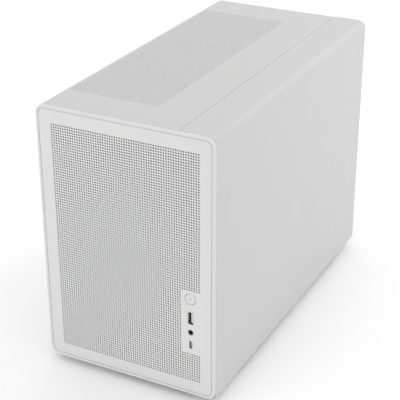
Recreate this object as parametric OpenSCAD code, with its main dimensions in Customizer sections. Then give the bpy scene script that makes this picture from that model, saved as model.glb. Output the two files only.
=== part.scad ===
// Desktop computer tower: a compact micro-ATX case with the power supply behind its front mesh.
// +Z is up, the front faces -Y, and the origin is under the middle of the body, on the floor.

/* [Body] */
// Width over the side panels
body_w = 205; // [205:1:260]
// Height of the body above its feet
body_h = 300; // [300:1:380]
// Depth from the front face to the rear edge of the side panels
body_d = 412; // [404:1:500]
// Radius of the long top edges and of the front corners
edge_r = 10; // [8:1:13]
// Height of the feet with their pads
foot_h = 8; // [8:1:14]
// Thickness of the steel sheet
sheet = 1; // [0.8:0.1:1.2]

/* [Front] */
// Width of the rim round the front panel
rim_w = 3.2; // [2.6:0.1:5]
// Depth of the rim that shows ahead of the side panels
rim_d = 3.6; // [3:0.1:6]
// Gap between the rim and the front panel
panel_gap = 0.6; // [0.4:0.1:1]
// Thickness of the front panel
front_t = 2; // [1.5:0.1:3]
// Depth of the whole front frame
frame_d = 22; // [20:1:30]

/* [Front ports] */
// Distance of the column of ports from the right side
port_in = 27.7; // [25:0.1:32]
// Height of the power button above the bottom of the body
button_up = 117.2; // [105:0.1:130]
// Diameter of the power button
button_dia = 12.2; // [10:0.1:14]
// Travel of the power button
button_travel = 1.5; // [1:0.1:2]
// Distance from the button down to the type A socket
usb_a_down = 22.9; // [20:0.1:30]
// Distance from the button down to the headset socket
jack_down = 40; // [38:0.1:45]
// Distance from the button down to the type C socket
usb_c_down = 55.1; // [52:0.1:60]
// Bore of the headset socket
jack_bore = 3.6; // [3.5:0.05:3.8]

/* [Top] */
// Distance from the right side to the seam of the top panel
seam_in = 40.7; // [30:0.1:50]

/* [Fans] */
// Side of the square case fans
fan_s = 120; // [92:1:120]
// Thickness of the case fans
fan_t = 25; // [20:1:30]
// Side of the processor fan
cpu_fan_s = 92; // [80:1:92]
// Diameter of the fan shafts
shaft_dia = 3; // [3:0.1:4]
// Radial clearance of the fan shafts and of the button stem
run_clear = 0.05; // [0.02:0.01:0.08]

/* [Inside] */
// Width and height of the motherboard
board_s = 244; // [226:1:244]
// Length of the power supply
psu_l = 140; // [125:1:140]
// Length of the graphics card
card_l = 236; // [180:1:240]
// Diameter of the ball of a panel stud
ball_dia = 5.4; // [4.4:0.1:6.6]
// Radial clearance round the ball in its clip
ball_clear = 0.3; // [0.2:0.05:0.5]

/* [Hidden] */
$fn = 48;
white = [0.93, 0.93, 0.93];
steel = [0.7, 0.71, 0.72];
black = [0.1, 0.1, 0.11];
green = [0.08, 0.2, 0.14];
eps = 0.5;

// Faces of the body
front_y = -body_d / 2;
rear_y = body_d / 2;
base_z = foot_h;
top_z = foot_h + body_h;
half_w = body_w / 2;
// The skin hangs stud_gap clear of the chassis, and its lower edge is skin_up above the rim
stud_gap = 5;
skin_up = 2;
skin_z = base_z + skin_up;
skin_y = front_y + rim_d + 0.4;
hem = 8;
// Chassis planes
ch_x = half_w - sheet - stud_gap;
ch_z = base_z + skin_up;
ch_top = top_z - sheet - stud_gap;
ch_y = front_y + frame_d;
rear_recess = 8;
rear_out = rear_y - rear_recess;
rear_in = rear_out - sheet;
floor_z = ch_z + sheet;
roof_z = ch_top - sheet;
// Front frame and panel
skirt_in = sheet + 0.6;
flange_y = front_y + 14;
flange_t = 2;
flange_w = 14;
panel_in = rim_w + panel_gap;
stud_in = 10;
// How far a ball's centre goes into its clip, which is a front clip's depth less the ball
clip_floor = 1;
ball_in = ch_y - flange_y - flange_t - clip_floor - ball_clear - ball_dia / 2;
// Port column
port_x = half_w - port_in;
button_z = base_z + button_up;
usb_a_z = button_z - usb_a_down;
jack_z = button_z - jack_down;
usb_c_z = button_z - usb_c_down;
port_clear = 0.3;
usb_a = [5.9, 14.3];
usb_a_in = [5.2, 12.7];
usb_c = [3.2, 9.2];
usb_c_wall = 0.35;
jack_dia = 5.7;
socket_y = front_y + 0.3;
io_pcb_x = port_x + 3;
io_pcb_t = 1.6;
io_y = [front_y + 5, front_y + 55];
io_z = [usb_c_z - 12, button_z + 13];
io_plate_x = io_pcb_x + io_pcb_t + 3;
io_hole = [port_x - 14, io_plate_x + 3];
// Button stack, from the face inwards
cap_d = 5;
stem_r = 3;
guide_y = front_y + 9;
guide_t = 4;
stem_d = 18;
plunger_d = button_travel + 0.5;
plunger_r = 1.2;
lens_r = 0.8;
lens_d = 1.2;
switch_y = front_y + stem_d + plunger_d;
// Top panel and its vent
seam_x = half_w - seam_in;
seam_gap = 0.5;
top_lip = 4;
top_side_z = top_z - edge_r - top_lip;
// Motherboard and tray
tray_x = half_w - 26.5;
spacer = 6.5;
pcb_t = 1.6;
board_x = tray_x - spacer - pcb_t;
board_y = [rear_in - 3 - board_s, rear_in - 3];
board_z = [roof_z - fan_t - 5 - board_s, roof_z - fan_t - 5];
slot_pitch = 20.32;
slot_z = [for (i = [0:3]) board_z[0] + 9 + slot_pitch * i];
io_win = [44.4, 158.8];
io_win_x = board_x + 3 - io_win[0];
io_win_z = board_z[1] + 2 - io_win[1];
slot_win = [104, 14];
slot_x0 = board_x - 8 - slot_win[0];
// Fans
fan_r = fan_s / 2 - 2;
fan_x = -ch_x + sheet + 0.5 + fan_s / 2;
rear_fan_z = board_z[1] - 1 - fan_s / 2;
fan_gap = 1;
top_fan_y = [for (i = [1.5, 0.5]) rear_in - fan_t - 3 - i * (fan_s + fan_gap)];
// Processor cooler
cpu = [board_y[1] - 88, board_z[1] - 62];
fin_x = [board_x - 122, board_x - 32];
fin_d = 45;
// Graphics card
card_up = 2;
card_z = slot_z[3] + card_up;
card_y = [rear_in - 3 - card_l, rear_in - 3];
card_h = 104;
card_r = 42;
card_fan_y = [card_y[0] + 60, card_y[0] + 60 + 2 * card_r + 6];
card_x = board_x - 12;
// Power supply, its fan towards the mesh
psu = [150, 86, psu_l];
psu_x = -ch_x + sheet + 4;
psu_y = ch_y + sheet + 8;
psu_z = roof_z - 42 - psu_l;
psu_fan = [psu_x + psu[0] / 2, psu_z + psu_l / 2];
psu_fan_r = 57;
// Mains inlet
inlet = [-ch_x + 20, base_z + 42];
inlet_open = [16.5, 24];
// Bottom filter
filter_w = 140;
filter_l = 250;
filter_y = rear_out - filter_l;
filter_t = 2.4;
filter_z = ch_z - 0.4 - filter_t;

// A solid from a flat outline in X and Z, from y on for length l
module along_y(y, l) {
    translate([0, y + l, 0])
        rotate([90, 0, 0])
            linear_extrude(l) children();
}

// A solid from a flat outline in Y and Z, from x on for length l
module along_x(x, l) {
    translate([x, 0, 0])
        rotate([90, 0, 90])
            linear_extrude(l) children();
}

module rod_x(x, l, r) {
    translate([x, 0, 0])
        rotate([0, 90, 0])
            cylinder(h = l, r = r);
}

module rod_y(y, l, r) {
    translate([0, y, 0])
        rotate([-90, 0, 0])
            cylinder(h = l, r = r);
}

module box(x, y, z) {
    translate([x[0], y[0], z[0]])
        cube([x[1] - x[0], y[1] - y[0], z[1] - z[0]]);
}

module round_rect(w, h, r) {
    translate([-w / 2, r]) square([w, h - 2 * r]);
    translate([-w / 2 + r, 0]) square([w - 2 * r, h]);
    for (x = [r - w / 2, w / 2 - r], z = [r, h - r])
        translate([x, z]) circle(r);
}

// The front outline, drawn in by d all round
module front_outline(d) {
    translate([0, base_z + d])
        round_rect(body_w - 2 * d, body_h - 2 * d, max(edge_r - d, 1));
}

module slot_outline(w, h) {
    translate([-w / 2, w / 2 - h / 2]) square([w, h - w]);
    for (s = [-1, 1])
        translate([0, s * (h - w) / 2]) circle(w / 2);
}

// The body's outline with rounded top edges, drawn in by d
module body_outline(d) {
    translate([-half_w + d, skin_z + d]) square([body_w - 2 * d, top_z - edge_r - skin_z - d]);
    translate([-half_w + edge_r, skin_z + d]) square([body_w - 2 * edge_r, top_z - skin_z - 2 * d]);
    for (s = [-1, 1])
        translate([s * (half_w - edge_r), top_z - edge_r]) circle(edge_r - d);
}

module skin_outline() {
    difference() {
        body_outline(0);
        body_outline(sheet);
    }
}

// ---- Front ----

// Moulded frame: the rim that shows, a skirt under the panels and a flange for the clips
module front_frame() {
    color(white)
    difference() {
        union() {
            along_y(front_y, rim_d) front_outline(0);
            along_y(front_y + rim_d, frame_d - rim_d) front_outline(skirt_in);
        }
        along_y(front_y - eps, flange_y - front_y + eps) front_outline(rim_w);
        along_y(flange_y + flange_t, frame_d) front_outline(rim_w);
        along_y(flange_y - eps, flange_t + 2 * eps) front_outline(flange_w);
        front_stud_places() rod_y(flange_y - eps, flange_t + 2 * eps, clip_hole_r);
    }
}

module front_stud_places() {
    for (s = [-1, 1], z = [base_z + stud_in, top_z - stud_in])
        translate([s * (half_w - stud_in), 0, z]) children();
}

module front_port_outlines(c) {
    translate([port_x, button_z]) circle(button_dia / 2 + c);
    translate([port_x - usb_a[0] / 2 - c, usb_a_z - usb_a[1] / 2 - c])
        square([usb_a[0] + 2 * c, usb_a[1] + 2 * c]);
    translate([port_x, jack_z]) circle(jack_dia / 2 + c);
    translate([port_x, usb_c_z]) slot_outline(usb_c[0] + 2 * c, usb_c[1] + 2 * c);
}

// Snap-on panel with a stiffening lip behind its edge, which ends short of the skin
module front_panel() {
    color(white) {
        along_y(front_y, front_t)
            difference() {
                front_outline(panel_in);
                front_port_outlines(port_clear);
            }
        along_y(front_y + front_t, skin_y - 0.3 - front_y - front_t)
            difference() {
                front_outline(panel_in);
                front_outline(panel_in + 1.2);
            }
    }
}

clip_hole_r = ball_dia / 2 + ball_clear + 0.4;

// A stud along +Z: foot, neck and ball, whose centre is at height l
module stud(l) {
    cylinder(h = 1.2, r = 3.6);
    cylinder(h = l, r = 1.6);
    translate([0, 0, l]) sphere(ball_dia / 2);
}

module front_studs() {
    color(white)
    front_stud_places()
        translate([0, front_y + front_t, 0])
            rotate([-90, 0, 0])
                stud(flange_y + flange_t + ball_in - front_y - front_t);
}

// Fine mesh in a thin frame, on the back of the front panel
module front_filter() {
    notch_x = port_x - 9;
    color(steel)
    along_y(front_y + front_t, 1.5)
        difference() {
            translate([-half_w + 15, base_z + 15]) square([body_w - 30, body_h - 30]);
            translate([notch_x, usb_c_z - 9]) square([half_w - notch_x, button_z - usb_c_z + 19]);
        }
}

// ---- Power button ----

module power_button() {
    color(white)
    translate([port_x, 0, button_z])
        difference() {
            union() {
                rod_y(front_y, cap_d, button_dia / 2);
                rod_y(front_y + cap_d, stem_d - cap_d, stem_r);
            }
            rod_y(front_y - eps, lens_d + eps, lens_r);
        }
}

module power_lens() {
    color(steel)
    translate([port_x, 0, button_z]) rod_y(front_y, lens_d, lens_r);
}

module switch_plunger() {
    color(black)
    translate([port_x, 0, button_z]) rod_y(front_y + stem_d, plunger_d + 2, plunger_r);
}

// Push switch that the stem works, with a well for its plunger
module power_switch() {
    color(steel)
    difference() {
        box([port_x - 3.5, io_pcb_x], [switch_y, switch_y + 6], [button_z - 3.5, button_z + 3.5]);
        translate([port_x, 0, button_z]) rod_y(switch_y - eps, 4.5 + eps, plunger_r + 0.3);
    }
}

// Bush that the stem slides in, on an arm of the bracket
module button_guide() {
    color(black)
    difference() {
        union() {
            translate([port_x, 0, button_z]) rod_y(guide_y, guide_t, 6);
            box([port_x, io_plate_x], [guide_y, guide_y + guide_t], [button_z + 1, button_z + 6]);
            box([io_plate_x - 2, io_plate_x], [guide_y, guide_y + 10], [button_z + 1, button_z + 6]);
        }
        translate([port_x, 0, button_z]) rod_y(guide_y - eps, guide_t + 2 * eps, stem_r + run_clear);
    }
}

// ---- Ports ----

io_boss = [for (z = [io_z[0] + 6, (io_z[0] + io_z[1]) / 2, io_z[1] - 14]) z];

// Plate that holds the port board, with a foot behind the chassis front
module io_bracket() {
    color(black) {
        box([io_plate_x, io_plate_x + 2], [front_y + 12, io_y[1]], io_z);
        box([io_plate_x + 2, io_plate_x + 12], [ch_y + sheet, ch_y + sheet + 2], io_z);
        for (z = io_boss)
            translate([0, io_y[1] - 8, z]) rod_x(io_pcb_x + io_pcb_t, 3, 3);
    }
}

module io_board() {
    color(green)
    difference() {
        box([io_pcb_x, io_pcb_x + io_pcb_t], io_y, io_z);
        // the stem's guide arm passes here
        box([io_pcb_x - eps, io_pcb_x + io_pcb_t + eps], [io_y[0] - eps, guide_y + 11],
            [button_z - 8, io_z[1] + eps]);
    }
}

module usb_a_shell() {
    color(steel)
    translate([port_x, 0, usb_a_z])
        difference() {
            box([-usb_a[0] / 2, usb_a[0] / 2], [socket_y, socket_y + 14], [-usb_a[1] / 2, usb_a[1] / 2]);
            box([-usb_a_in[0] / 2, usb_a_in[0] / 2], [socket_y - eps, socket_y + 13.2],
                [-usb_a_in[1] / 2, usb_a_in[1] / 2]);
        }
}

module usb_a_tongue() {
    color(white)
    translate([port_x, 0, usb_a_z])
        box([0.3, 2.2], [socket_y + 1.2, socket_y + 13.2], [-5.5, 5.5]);
}

module headset_socket() {
    color(black)
    translate([port_x, 0, jack_z])
        difference() {
            union() {
                rod_y(socket_y, 5, jack_dia / 2);
                box([-3, 3], [socket_y + 5, socket_y + 17], [-3.5, 3.5]);
            }
            rod_y(socket_y - eps, 14 + eps, jack_bore / 2);
        }
}

module usb_c_shell() {
    color(steel)
    translate([port_x, 0, usb_c_z])
        difference() {
            along_y(socket_y, 9) slot_outline(usb_c[0], usb_c[1]);
            along_y(socket_y - eps, 8.4 + eps)
                slot_outline(usb_c[0] - 2 * usb_c_wall, usb_c[1] - 2 * usb_c_wall);
        }
}

module usb_c_tongue() {
    color(black)
    translate([port_x, 0, usb_c_z])
        box([-0.35, 0.35], [socket_y + 0.8, socket_y + 8.4], [-3.3, 3.3]);
}

// ---- Skin ----

// Lift-off top with its left edge bent down the side
module top_panel() {
    color(white) {
        along_y(skin_y, rear_y - 2 - skin_y)
            intersection() {
                skin_outline();
                translate([-half_w, top_side_z]) square([seam_x - seam_gap / 2 + half_w, top_z]);
            }
        for (y = [skin_y + 20, rear_y - 2 - sheet])
            box([-half_w + edge_r + 2, seam_x - 2], [y, y + sheet], [top_z - sheet - 3, top_z - sheet]);
    }
}

module top_stud_places() {
    for (x = [-half_w + edge_r + 14, seam_x - 14], y = [ch_y + 8, rear_in - 8])
        translate([x, y, 0]) children();
}

module top_studs() {
    color(white)
    top_stud_places()
        translate([0, 0, top_z - sheet])
            rotate([180, 0, 0]) stud(stud_gap + sheet + ball_in);
}

module top_filter() {
    color(steel)
    box([-half_w + edge_r, seam_x - 42], [skin_y + 34, rear_y - 34], [top_z - sheet - 1.5, top_z - sheet]);
}

// Flat sheet with hems; its top edge tucks under the top panel's lip
module left_side_panel() {
    color(white) {
        box([-half_w, -half_w + sheet], [skin_y, rear_y], [skin_z, top_side_z - seam_gap]);
        for (y = [skin_y + 20, rear_y - sheet])
            box([-half_w + sheet, -half_w + sheet + 4.4], [y, y + sheet], [skin_z + hem, top_side_z - 14]);
    }
}

// Sheet bent over the top right edge, with a lip that reaches the top seam
module right_side_panel() {
    color(white) {
        along_y(skin_y, rear_y - skin_y)
            intersection() {
                skin_outline();
                union() {
                    translate([half_w - 2 * sheet, skin_z]) square([3 * sheet, body_h]);
                    translate([seam_x + seam_gap / 2, top_z - edge_r]) square([half_w, edge_r + 1]);
                }
            }
        for (y = [skin_y + 20, rear_y - sheet])
            box([half_w - sheet - 4.4, half_w - sheet], [y, y + sheet], [skin_z + hem, top_z - edge_r - 14]);
    }
}

module side_stud_places() {
    for (y = [ch_y + 8, rear_in - 8], z = [floor_z + 14, roof_z - 14])
        translate([0, y, z]) children();
}

module left_studs() {
    color(white)
    side_stud_places()
        translate([-half_w + sheet, 0, 0])
            rotate([0, 90, 0]) stud(stud_gap + sheet + ball_in);
}

module right_studs() {
    color(white)
    side_stud_places()
        translate([half_w - sheet, 0, 0])
            rotate([0, -90, 0]) stud(stud_gap + sheet + ball_in);
}

// Cup that a stud's ball snaps into: bottom closed, mouth at the origin, along -Z
module clip(l) {
    difference() {
        translate([0, 0, -l]) cylinder(h = l, r = ball_dia / 2 + ball_clear + 1.6);
        translate([0, 0, clip_floor - l]) cylinder(h = l, r = ball_dia / 2 + ball_clear);
    }
}

module panel_clips() {
    color(black) {
        side_stud_places()
            for (s = [-1, 1])
                translate([s * (ch_x - sheet), 0, 0])
                    rotate([0, s * 90, 0]) clip(7);
        top_stud_places()
            translate([0, 0, roof_z]) clip(7);
        front_stud_places()
            translate([0, flange_y + flange_t, 0])
                rotate([90, 0, 0]) clip(ch_y - flange_y - flange_t);
    }
}

// ---- Chassis ----

module side_holes() {
    side_stud_places()
        rod_x(-half_w, body_w, clip_hole_r);
}

// Front plate with flanges back along both sides and openings for air and for the ports
module chassis_front() {
    color(white)
    difference() {
        union() {
            box([-ch_x, ch_x], [ch_y, ch_y + sheet], [ch_z, ch_top]);
            for (s = [-1, 1])
                translate([s * (ch_x - sheet / 2), 0, 0])
                    box([-sheet / 2, sheet / 2], [ch_y, ch_y + 18], [floor_z, roof_z]);
        }
        box([-ch_x + 14, io_hole[0] - 8], [ch_y - eps, ch_y + sheet + eps], [floor_z + 14, roof_z - 12]);
        box(io_hole, [ch_y - eps, ch_y + sheet + eps], [io_z[0] - 4, io_z[1] + 4]);
        side_holes();
    }
}

// Floor with a vent over the bottom filter
module chassis_base() {
    color(white)
    difference() {
        box([-ch_x, ch_x], [ch_y + sheet, rear_out], [ch_z, floor_z]);
        for (i = [0:4])
            translate([0, filter_y + 22 + i * 44, 0])
                box([-56, 56], [0, 30], [ch_z - eps, floor_z + eps]);
    }
}

// Roof with two fan openings
module chassis_top() {
    color(white)
    difference() {
        box([-ch_x, ch_x], [ch_y + sheet, rear_in], [roof_z, ch_top]);
        for (y = top_fan_y)
            translate([fan_x, y, roof_z - eps]) cylinder(h = sheet + 2 * eps, r = fan_r - 2);
        top_stud_places()
            translate([0, 0, roof_z - eps]) cylinder(h = sheet + 2 * eps, r = clip_hole_r);
    }
}

// Back plate with its windows, and flanges forward along both sides
module rear_panel() {
    color(white)
    difference() {
        union() {
            box([-ch_x, ch_x], [rear_in, rear_out], [floor_z, ch_top]);
            for (s = [-1, 1])
                translate([s * (ch_x - sheet / 2), 0, 0])
                    box([-sheet / 2, sheet / 2], [rear_in - 16, rear_in], [floor_z, roof_z]);
        }
        translate([io_win_x, 0, io_win_z])
            box([0, io_win[0]], [rear_in - eps, rear_out + eps], [0, io_win[1]]);
        for (z = slot_z)
            translate([slot_x0, 0, z - slot_win[1] / 2])
                box([0, slot_win[0]], [rear_in - eps, rear_out + eps], [0, slot_win[1]]);
        translate([inlet[0], 0, inlet[1]])
            box([-11, 11], [rear_in - eps, rear_out + eps], [-15, 15]);
        side_holes();
    }
}

// Divider that the motherboard stands on, with its spacers
module motherboard_tray() {
    color(white) {
        difference() {
            box([tray_x, tray_x + sheet], [board_y[0] - 44, rear_in], [floor_z, roof_z]);
            box([tray_x - eps, tray_x + sheet + eps], [cpu[0] - 45, cpu[0] + 45], [cpu[1] - 50, cpu[1] + 50]);
            box([tray_x - eps, tray_x + sheet + eps], [board_y[0] - 34, board_y[0] - 8],
                [board_z[0] + 20, board_z[0] + 90]);
        }
        board_screw_places()
            rod_x(board_x + pcb_t, spacer, 2.6);
    }
}

module board_screw_places() {
    for (y = [board_y[0] + 12, board_y[0] + 100, board_y[1] - 10],
         z = [board_z[0] + 6, board_z[0] + 86, board_z[1] - 8])
        translate([0, y, z]) children();
}

foot_x = half_w - 22;
foot_y = [ch_y + 32, rear_y - 34];
pad_t = 1.8;

module foot_places() {
    for (s = [-1, 1], y = foot_y)
        translate([s * foot_x, y, 0]) children();
}

module feet() {
    color(white)
    foot_places() {
        translate([0, 0, pad_t])
            linear_extrude(ch_z - pad_t) slot_outline(14, 46);
    }
}

module foot_pads() {
    color(black)
    foot_places()
        linear_extrude(pad_t) slot_outline(10, 42);
}

// Channels under the floor that the bottom filter slides in
module filter_rails() {
    color(white)
    for (s = [0, 1])
        mirror([s, 0, 0])
            difference() {
                box([filter_w / 2 - 3, filter_w / 2 + 2], [filter_y - 3, rear_out - 4],
                    [filter_z - 1.4, ch_z]);
                box([filter_w / 2 - 4, filter_w / 2 + 0.4], [filter_y - 0.4, rear_out],
                    [filter_z - 0.4, ch_z + eps]);
            }
}

// Pull-out filter with a finger tab at the rear
module bottom_filter() {
    color(steel) {
        difference() {
            box([-filter_w / 2, filter_w / 2], [filter_y, rear_out], [filter_z, filter_z + filter_t]);
            for (i = [0:4])
                translate([0, filter_y + 22 + i * 44, 0])
                    box([-56, 56], [0, 30], [filter_z + 0.6, filter_z + filter_t + eps]);
        }
        box([-14, 14], [rear_out, rear_out + 6], [filter_z, filter_z + filter_t]);
    }
}

// ---- Fans ----

// Square fan frame along +Z: struts and hub at the bottom, air from the top
module fan_frame(s, t, r, hub_r) {
    linear_extrude(t)
        difference() {
            translate([0, -s / 2]) round_rect(s, s, 4);
            circle(r);
            for (x = [-1, 1], y = [-1, 1])
                translate([x * (s / 2 - 7.5), y * (s / 2 - 7.5)]) circle(2.1);
        }
    fan_spider(r + 1, hub_r);
    translate([0, 0, 3]) cylinder(h = t - 8, r = shaft_dia / 2);
}

module fan_spider(r, hub_r) {
    cylinder(h = 3, r = hub_r);
    for (a = [45:90:315])
        rotate(a)
            translate([hub_r - 1, -1.5, 0]) cube([r - hub_r + 1, 3, 3]);
}

// Bladed rotor on a hub cup, clear of its frame's hub and bore
module fan_rotor(t, r, hub_r, blades, pitch) {
    tip_r = r - 1.2;
    low = 4;
    high = t - 2;
    chord = 2 * PI * hub_r / blades * 1.25;
    difference() {
        union() {
            translate([0, 0, low]) cylinder(h = high - low, r = hub_r);
            for (i = [0:blades - 1])
                intersection() {
                    translate([0, 0, low + 0.5]) cylinder(h = high - low - 1, r = tip_r);
                    rotate(i * 360 / blades)
                        translate([hub_r - 2, 0, (low + high) / 2])
                            rotate([pitch, 0, 0])
                                translate([0, -0.7, -chord]) cube([r, 1.4, 2 * chord]);
                }
        }
        translate([0, 0, low - eps]) cylinder(h = t - 5 - low + 2 * eps, r = shaft_dia / 2 + run_clear);
    }
}

hub_r = 20;

module at_top_fan(i) {
    translate([fan_x, top_fan_y[i], roof_z])
        rotate([180, 0, 0]) children();
}

module at_rear_fan() {
    translate([fan_x, rear_in, rear_fan_z])
        rotate([90, 0, 0]) children();
}

module fan_frames() {
    color(black) {
        for (i = [0, 1])
            at_top_fan(i) fan_frame(fan_s, fan_t, fan_r, hub_r);
        at_rear_fan() fan_frame(fan_s, fan_t, fan_r, hub_r);
    }
}

module top_front_rotor() {
    color(black) at_top_fan(0) fan_rotor(fan_t, fan_r, hub_r, 9, 52);
}

module top_rear_rotor() {
    color(black) at_top_fan(1) fan_rotor(fan_t, fan_r, hub_r, 9, 52);
}

module rear_rotor() {
    color(black) at_rear_fan() fan_rotor(fan_t, fan_r, hub_r, 9, 52);
}

// ---- Power supply ----

psu_wall = 1;

module at_psu_fan() {
    translate([psu_fan[0], psu_y + psu_wall + 26, psu_fan[1]])
        rotate([90, 0, 0]) children();
}

// Steel case with a fan opening in front, a spider behind it and feet on the chassis front
module psu_case() {
    color(black) {
        difference() {
            box([psu_x, psu_x + psu[0]], [psu_y, psu_y + psu[1]], [psu_z, psu_z + psu[2]]);
            box([psu_x + psu_wall, psu_x + psu[0] - psu_wall], [psu_y + psu_wall, psu_y + psu[1] - psu_wall],
                [psu_z + psu_wall, psu_z + psu[2] - psu_wall]);
            translate([psu_fan[0], 0, psu_fan[1]]) rod_y(psu_y - eps, psu_wall + 2 * eps, psu_fan_r);
            translate([psu_x + 34, psu_y + psu[1] / 2, psu_z])
                box([-14, 14], [-10, 10], [-eps, psu_wall + eps]);
            translate([psu_x + 72, psu_y + psu[1] / 2, psu_z])
                box([-6.4, 6.4], [-9.6, 9.6], [-eps, psu_wall + eps]);
        }
        at_psu_fan() fan_spider(psu[2] / 2 - psu_wall, hub_r);
        at_psu_fan() translate([0, 0, 3]) cylinder(h = 17, r = shaft_dia / 2);
        for (x = [psu_x + 30, psu_x + psu[0] - 44])
            box([x, x + 14], [ch_y + sheet, psu_y], [psu_z + psu_l - 8, roof_z]);
    }
}

module psu_electronics() {
    y = psu_y + psu[1] - psu_wall;
    color(green)
    box([psu_x + 6, psu_x + psu[0] - 6], [y - 5, y - 3], [psu_z + 30, psu_z + psu_l - 6]);
    color(steel) {
        for (x = [psu_x + 40, psu_x + 96])
            box([x, x + 4], [y - 44, y - 5], [psu_z + 36, psu_z + psu_l - 20]);
        box([psu_x + 56, psu_x + 88], [y - 36, y - 5], [psu_z + 60, psu_z + 96]);
        translate([psu_x + 22, 0, psu_z + 60]) rod_y(y - 40, 35, 11);
        translate([psu_x + 120, 0, psu_z + 80]) rod_y(y - 32, 27, 9);
        for (x = [psu_x + 12, psu_x + psu[0] - 16], z = [psu_z + 40, psu_z + psu_l - 16])
            box([x, x + 4], [y - 3, y], [z, z + 4]);
    }
}

// Wire guard over the fan opening
module psu_grille() {
    color(steel)
    translate([psu_fan[0], psu_y, psu_fan[1]])
        rotate([90, 0, 0]) {
            for (r = [14:8:54])
                rotate_extrude() translate([r, 1.6]) circle(0.8, $fn = 24);
            for (a = [45:90:315])
                rotate(a)
                    translate([13, -1, 0]) cube([psu_fan_r - 8, 2, 1.6]);
            for (a = [45:90:315])
                rotate(a)
                    translate([psu_fan_r + 3, 0, 0]) cylinder(h = 1.6, r = 5);
        }
}

module psu_rotor() {
    color(black) at_psu_fan() fan_rotor(25, psu_fan_r, hub_r, 7, 52);
}

rocker = [psu_x + 72, psu_y + psu[1] / 2, psu_z];
rocker_tilt = 8;

// Rocker of the power switch, tilted to one side
module psu_rocker() {
    color(black)
    translate(rocker)
        rotate([rocker_tilt, 0, 0]) {
            rod_x(-5, 10, 3);
            box([-5, 5], [-7.4, 7.4], [-1.6, 1]);
        }
}

// Inlet in the rear panel: flange, shroud and three pins
module mains_inlet() {
    color(black)
    translate([inlet[0], rear_out, inlet[1]])
        difference() {
            union() {
                box([-12.5, 12.5], [0, 2.4], [-25, 25]);
                box([-10.6, 10.6], [-24, 0], [-14.6, 14.6]);
            }
            box([-inlet_open[0] / 2, inlet_open[0] / 2], [-18, 3], [-inlet_open[1] / 2, inlet_open[1] / 2]);
            for (s = [-1, 1])
                translate([0, 0, s * 20]) rod_y(-eps, 3 + eps, 1.8);
        }
    color(steel)
    translate([inlet[0], rear_out, inlet[1]]) {
        for (s = [-1, 1])
            box([-3.5, 0.5], [-18, -3], [s * 7 - 1, s * 7 + 1]);
        box([0.5, 4.5], [-18, -2], [-1, 1]);
    }
}

// ---- Mains lead inside the case ----

// Round numbers along the floor and up to the supply, measured from the inlet and the supply
lead_plug = [psu_x + 34, psu_y + psu[1] / 2, psu_z - 26];
lead_start = [inlet[0], rear_out - 24, inlet[1]];
lead_low = floor_z + 6;
lead_ends = [
    lead_start,
    lead_start + [0, -7, 0],
    lead_start + [0, -14, 0],
    [inlet[0], lead_start[1] - 34, lead_low + 14],
    [inlet[0] - 2, lead_start[1] - 60, lead_low],
    [inlet[0] - 2, 60, lead_low],
    [inlet[0], -40, lead_low],
    [inlet[0] + 4, lead_plug[1] + 40, lead_low],
    [lead_plug[0], lead_plug[1] + 8, lead_low + 16],
    lead_plug - [0, 0, 16],
    lead_plug - [0, 0, 8],
    lead_plug];
lead_steps = 5;
lead_r = 3.5;

// Catmull-Rom point between p[1] and p[2]
function spline(p, t) =
    0.5 * (2 * p[1] + (p[2] - p[0]) * t + (2 * p[0] - 5 * p[1] + 4 * p[2] - p[3]) * t * t
        + (3 * p[1] - p[0] - 3 * p[2] + p[3]) * t * t * t);
function pick(p, i) = p[min(max(i, 0), len(p) - 1)];
function route(p) = [
    for (i = [0:len(p) - 2], s = [0:lead_steps - 1])
        spline([pick(p, i - 1), p[i], p[i + 1], pick(p, i + 2)], s / lead_steps),
    p[len(p) - 1]];
function unit(v) = v / norm(v);
// Rings square to the route, kept level by one sideways vector
function ring(p, i, r, n) =
    let (d = unit(pick(p, i + 1) - pick(p, i - 1)),
         u = unit(cross(d, [1, 0.02, 0.03])),
         v = cross(d, u))
    [for (k = [0:n - 1]) p[i] + r * (cos(k * 360 / n) * u + sin(k * 360 / n) * v)];

module tube(p, r, n) {
    m = len(p);
    polyhedron(
        points = [for (i = [0:m - 1]) each ring(p, i, r, n)],
        faces = concat(
            [[for (k = [0:n - 1]) k]],
            [for (i = [0:m - 2], k = [0:n - 1])
                [i * n + k, (i + 1) * n + k, (i + 1) * n + (k + 1) % n, i * n + (k + 1) % n]],
            [[for (k = [n - 1:-1:0]) (m - 1) * n + k]]),
        convexity = 8);
}

module mains_lead() {
    color(black) {
        tube(route(lead_ends), lead_r, 8);
        translate(lead_plug)
            box([-12, 12], [-8, 8], [0, 26]);
    }
}

// ---- Motherboard ----

module motherboard() {
    color(green)
    difference() {
        box([board_x, board_x + pcb_t], board_y, board_z);
        board_screw_places() rod_x(board_x - eps, pcb_t + 2 * eps, 1.7);
    }
}

// Sockets, coolers and slots soldered to the board
module board_parts() {
    color(black) {
        for (i = [0:1])
            box([board_x - 8, board_x], [board_y[0] + 62 + 10 * i, board_y[0] + 67 + 10 * i],
                [board_z[1] - 145, board_z[1] - 6]);
        for (i = [1, 3])
            translate([0, 0, slot_z[i] + card_up + pcb_t / 2])
                difference() {
                    box([board_x - 11, board_x], [board_y[0] + 70, board_y[0] + 160], [-3.6, 3.6]);
                    box([board_x - 11 - eps, board_x - 1.6], [board_y[0] + 71.6, board_y[0] + 158.4],
                        [-pcb_t / 2 - 0.2, pcb_t / 2 + 0.2]);
                }
        box([board_x - 10, board_x], [board_y[0] + 2, board_y[0] + 12], [board_z[1] - 90, board_z[1] - 36]);
        box([board_x - 14, board_x], [board_y[1] - 40, board_y[1] - 30], [board_z[1] - 60, board_z[1] - 6]);
    }
    color(steel)
    box([board_x - 6, board_x], [cpu[0] - 20, cpu[0] + 20], [cpu[1] - 20, cpu[1] + 20]);
}

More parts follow.
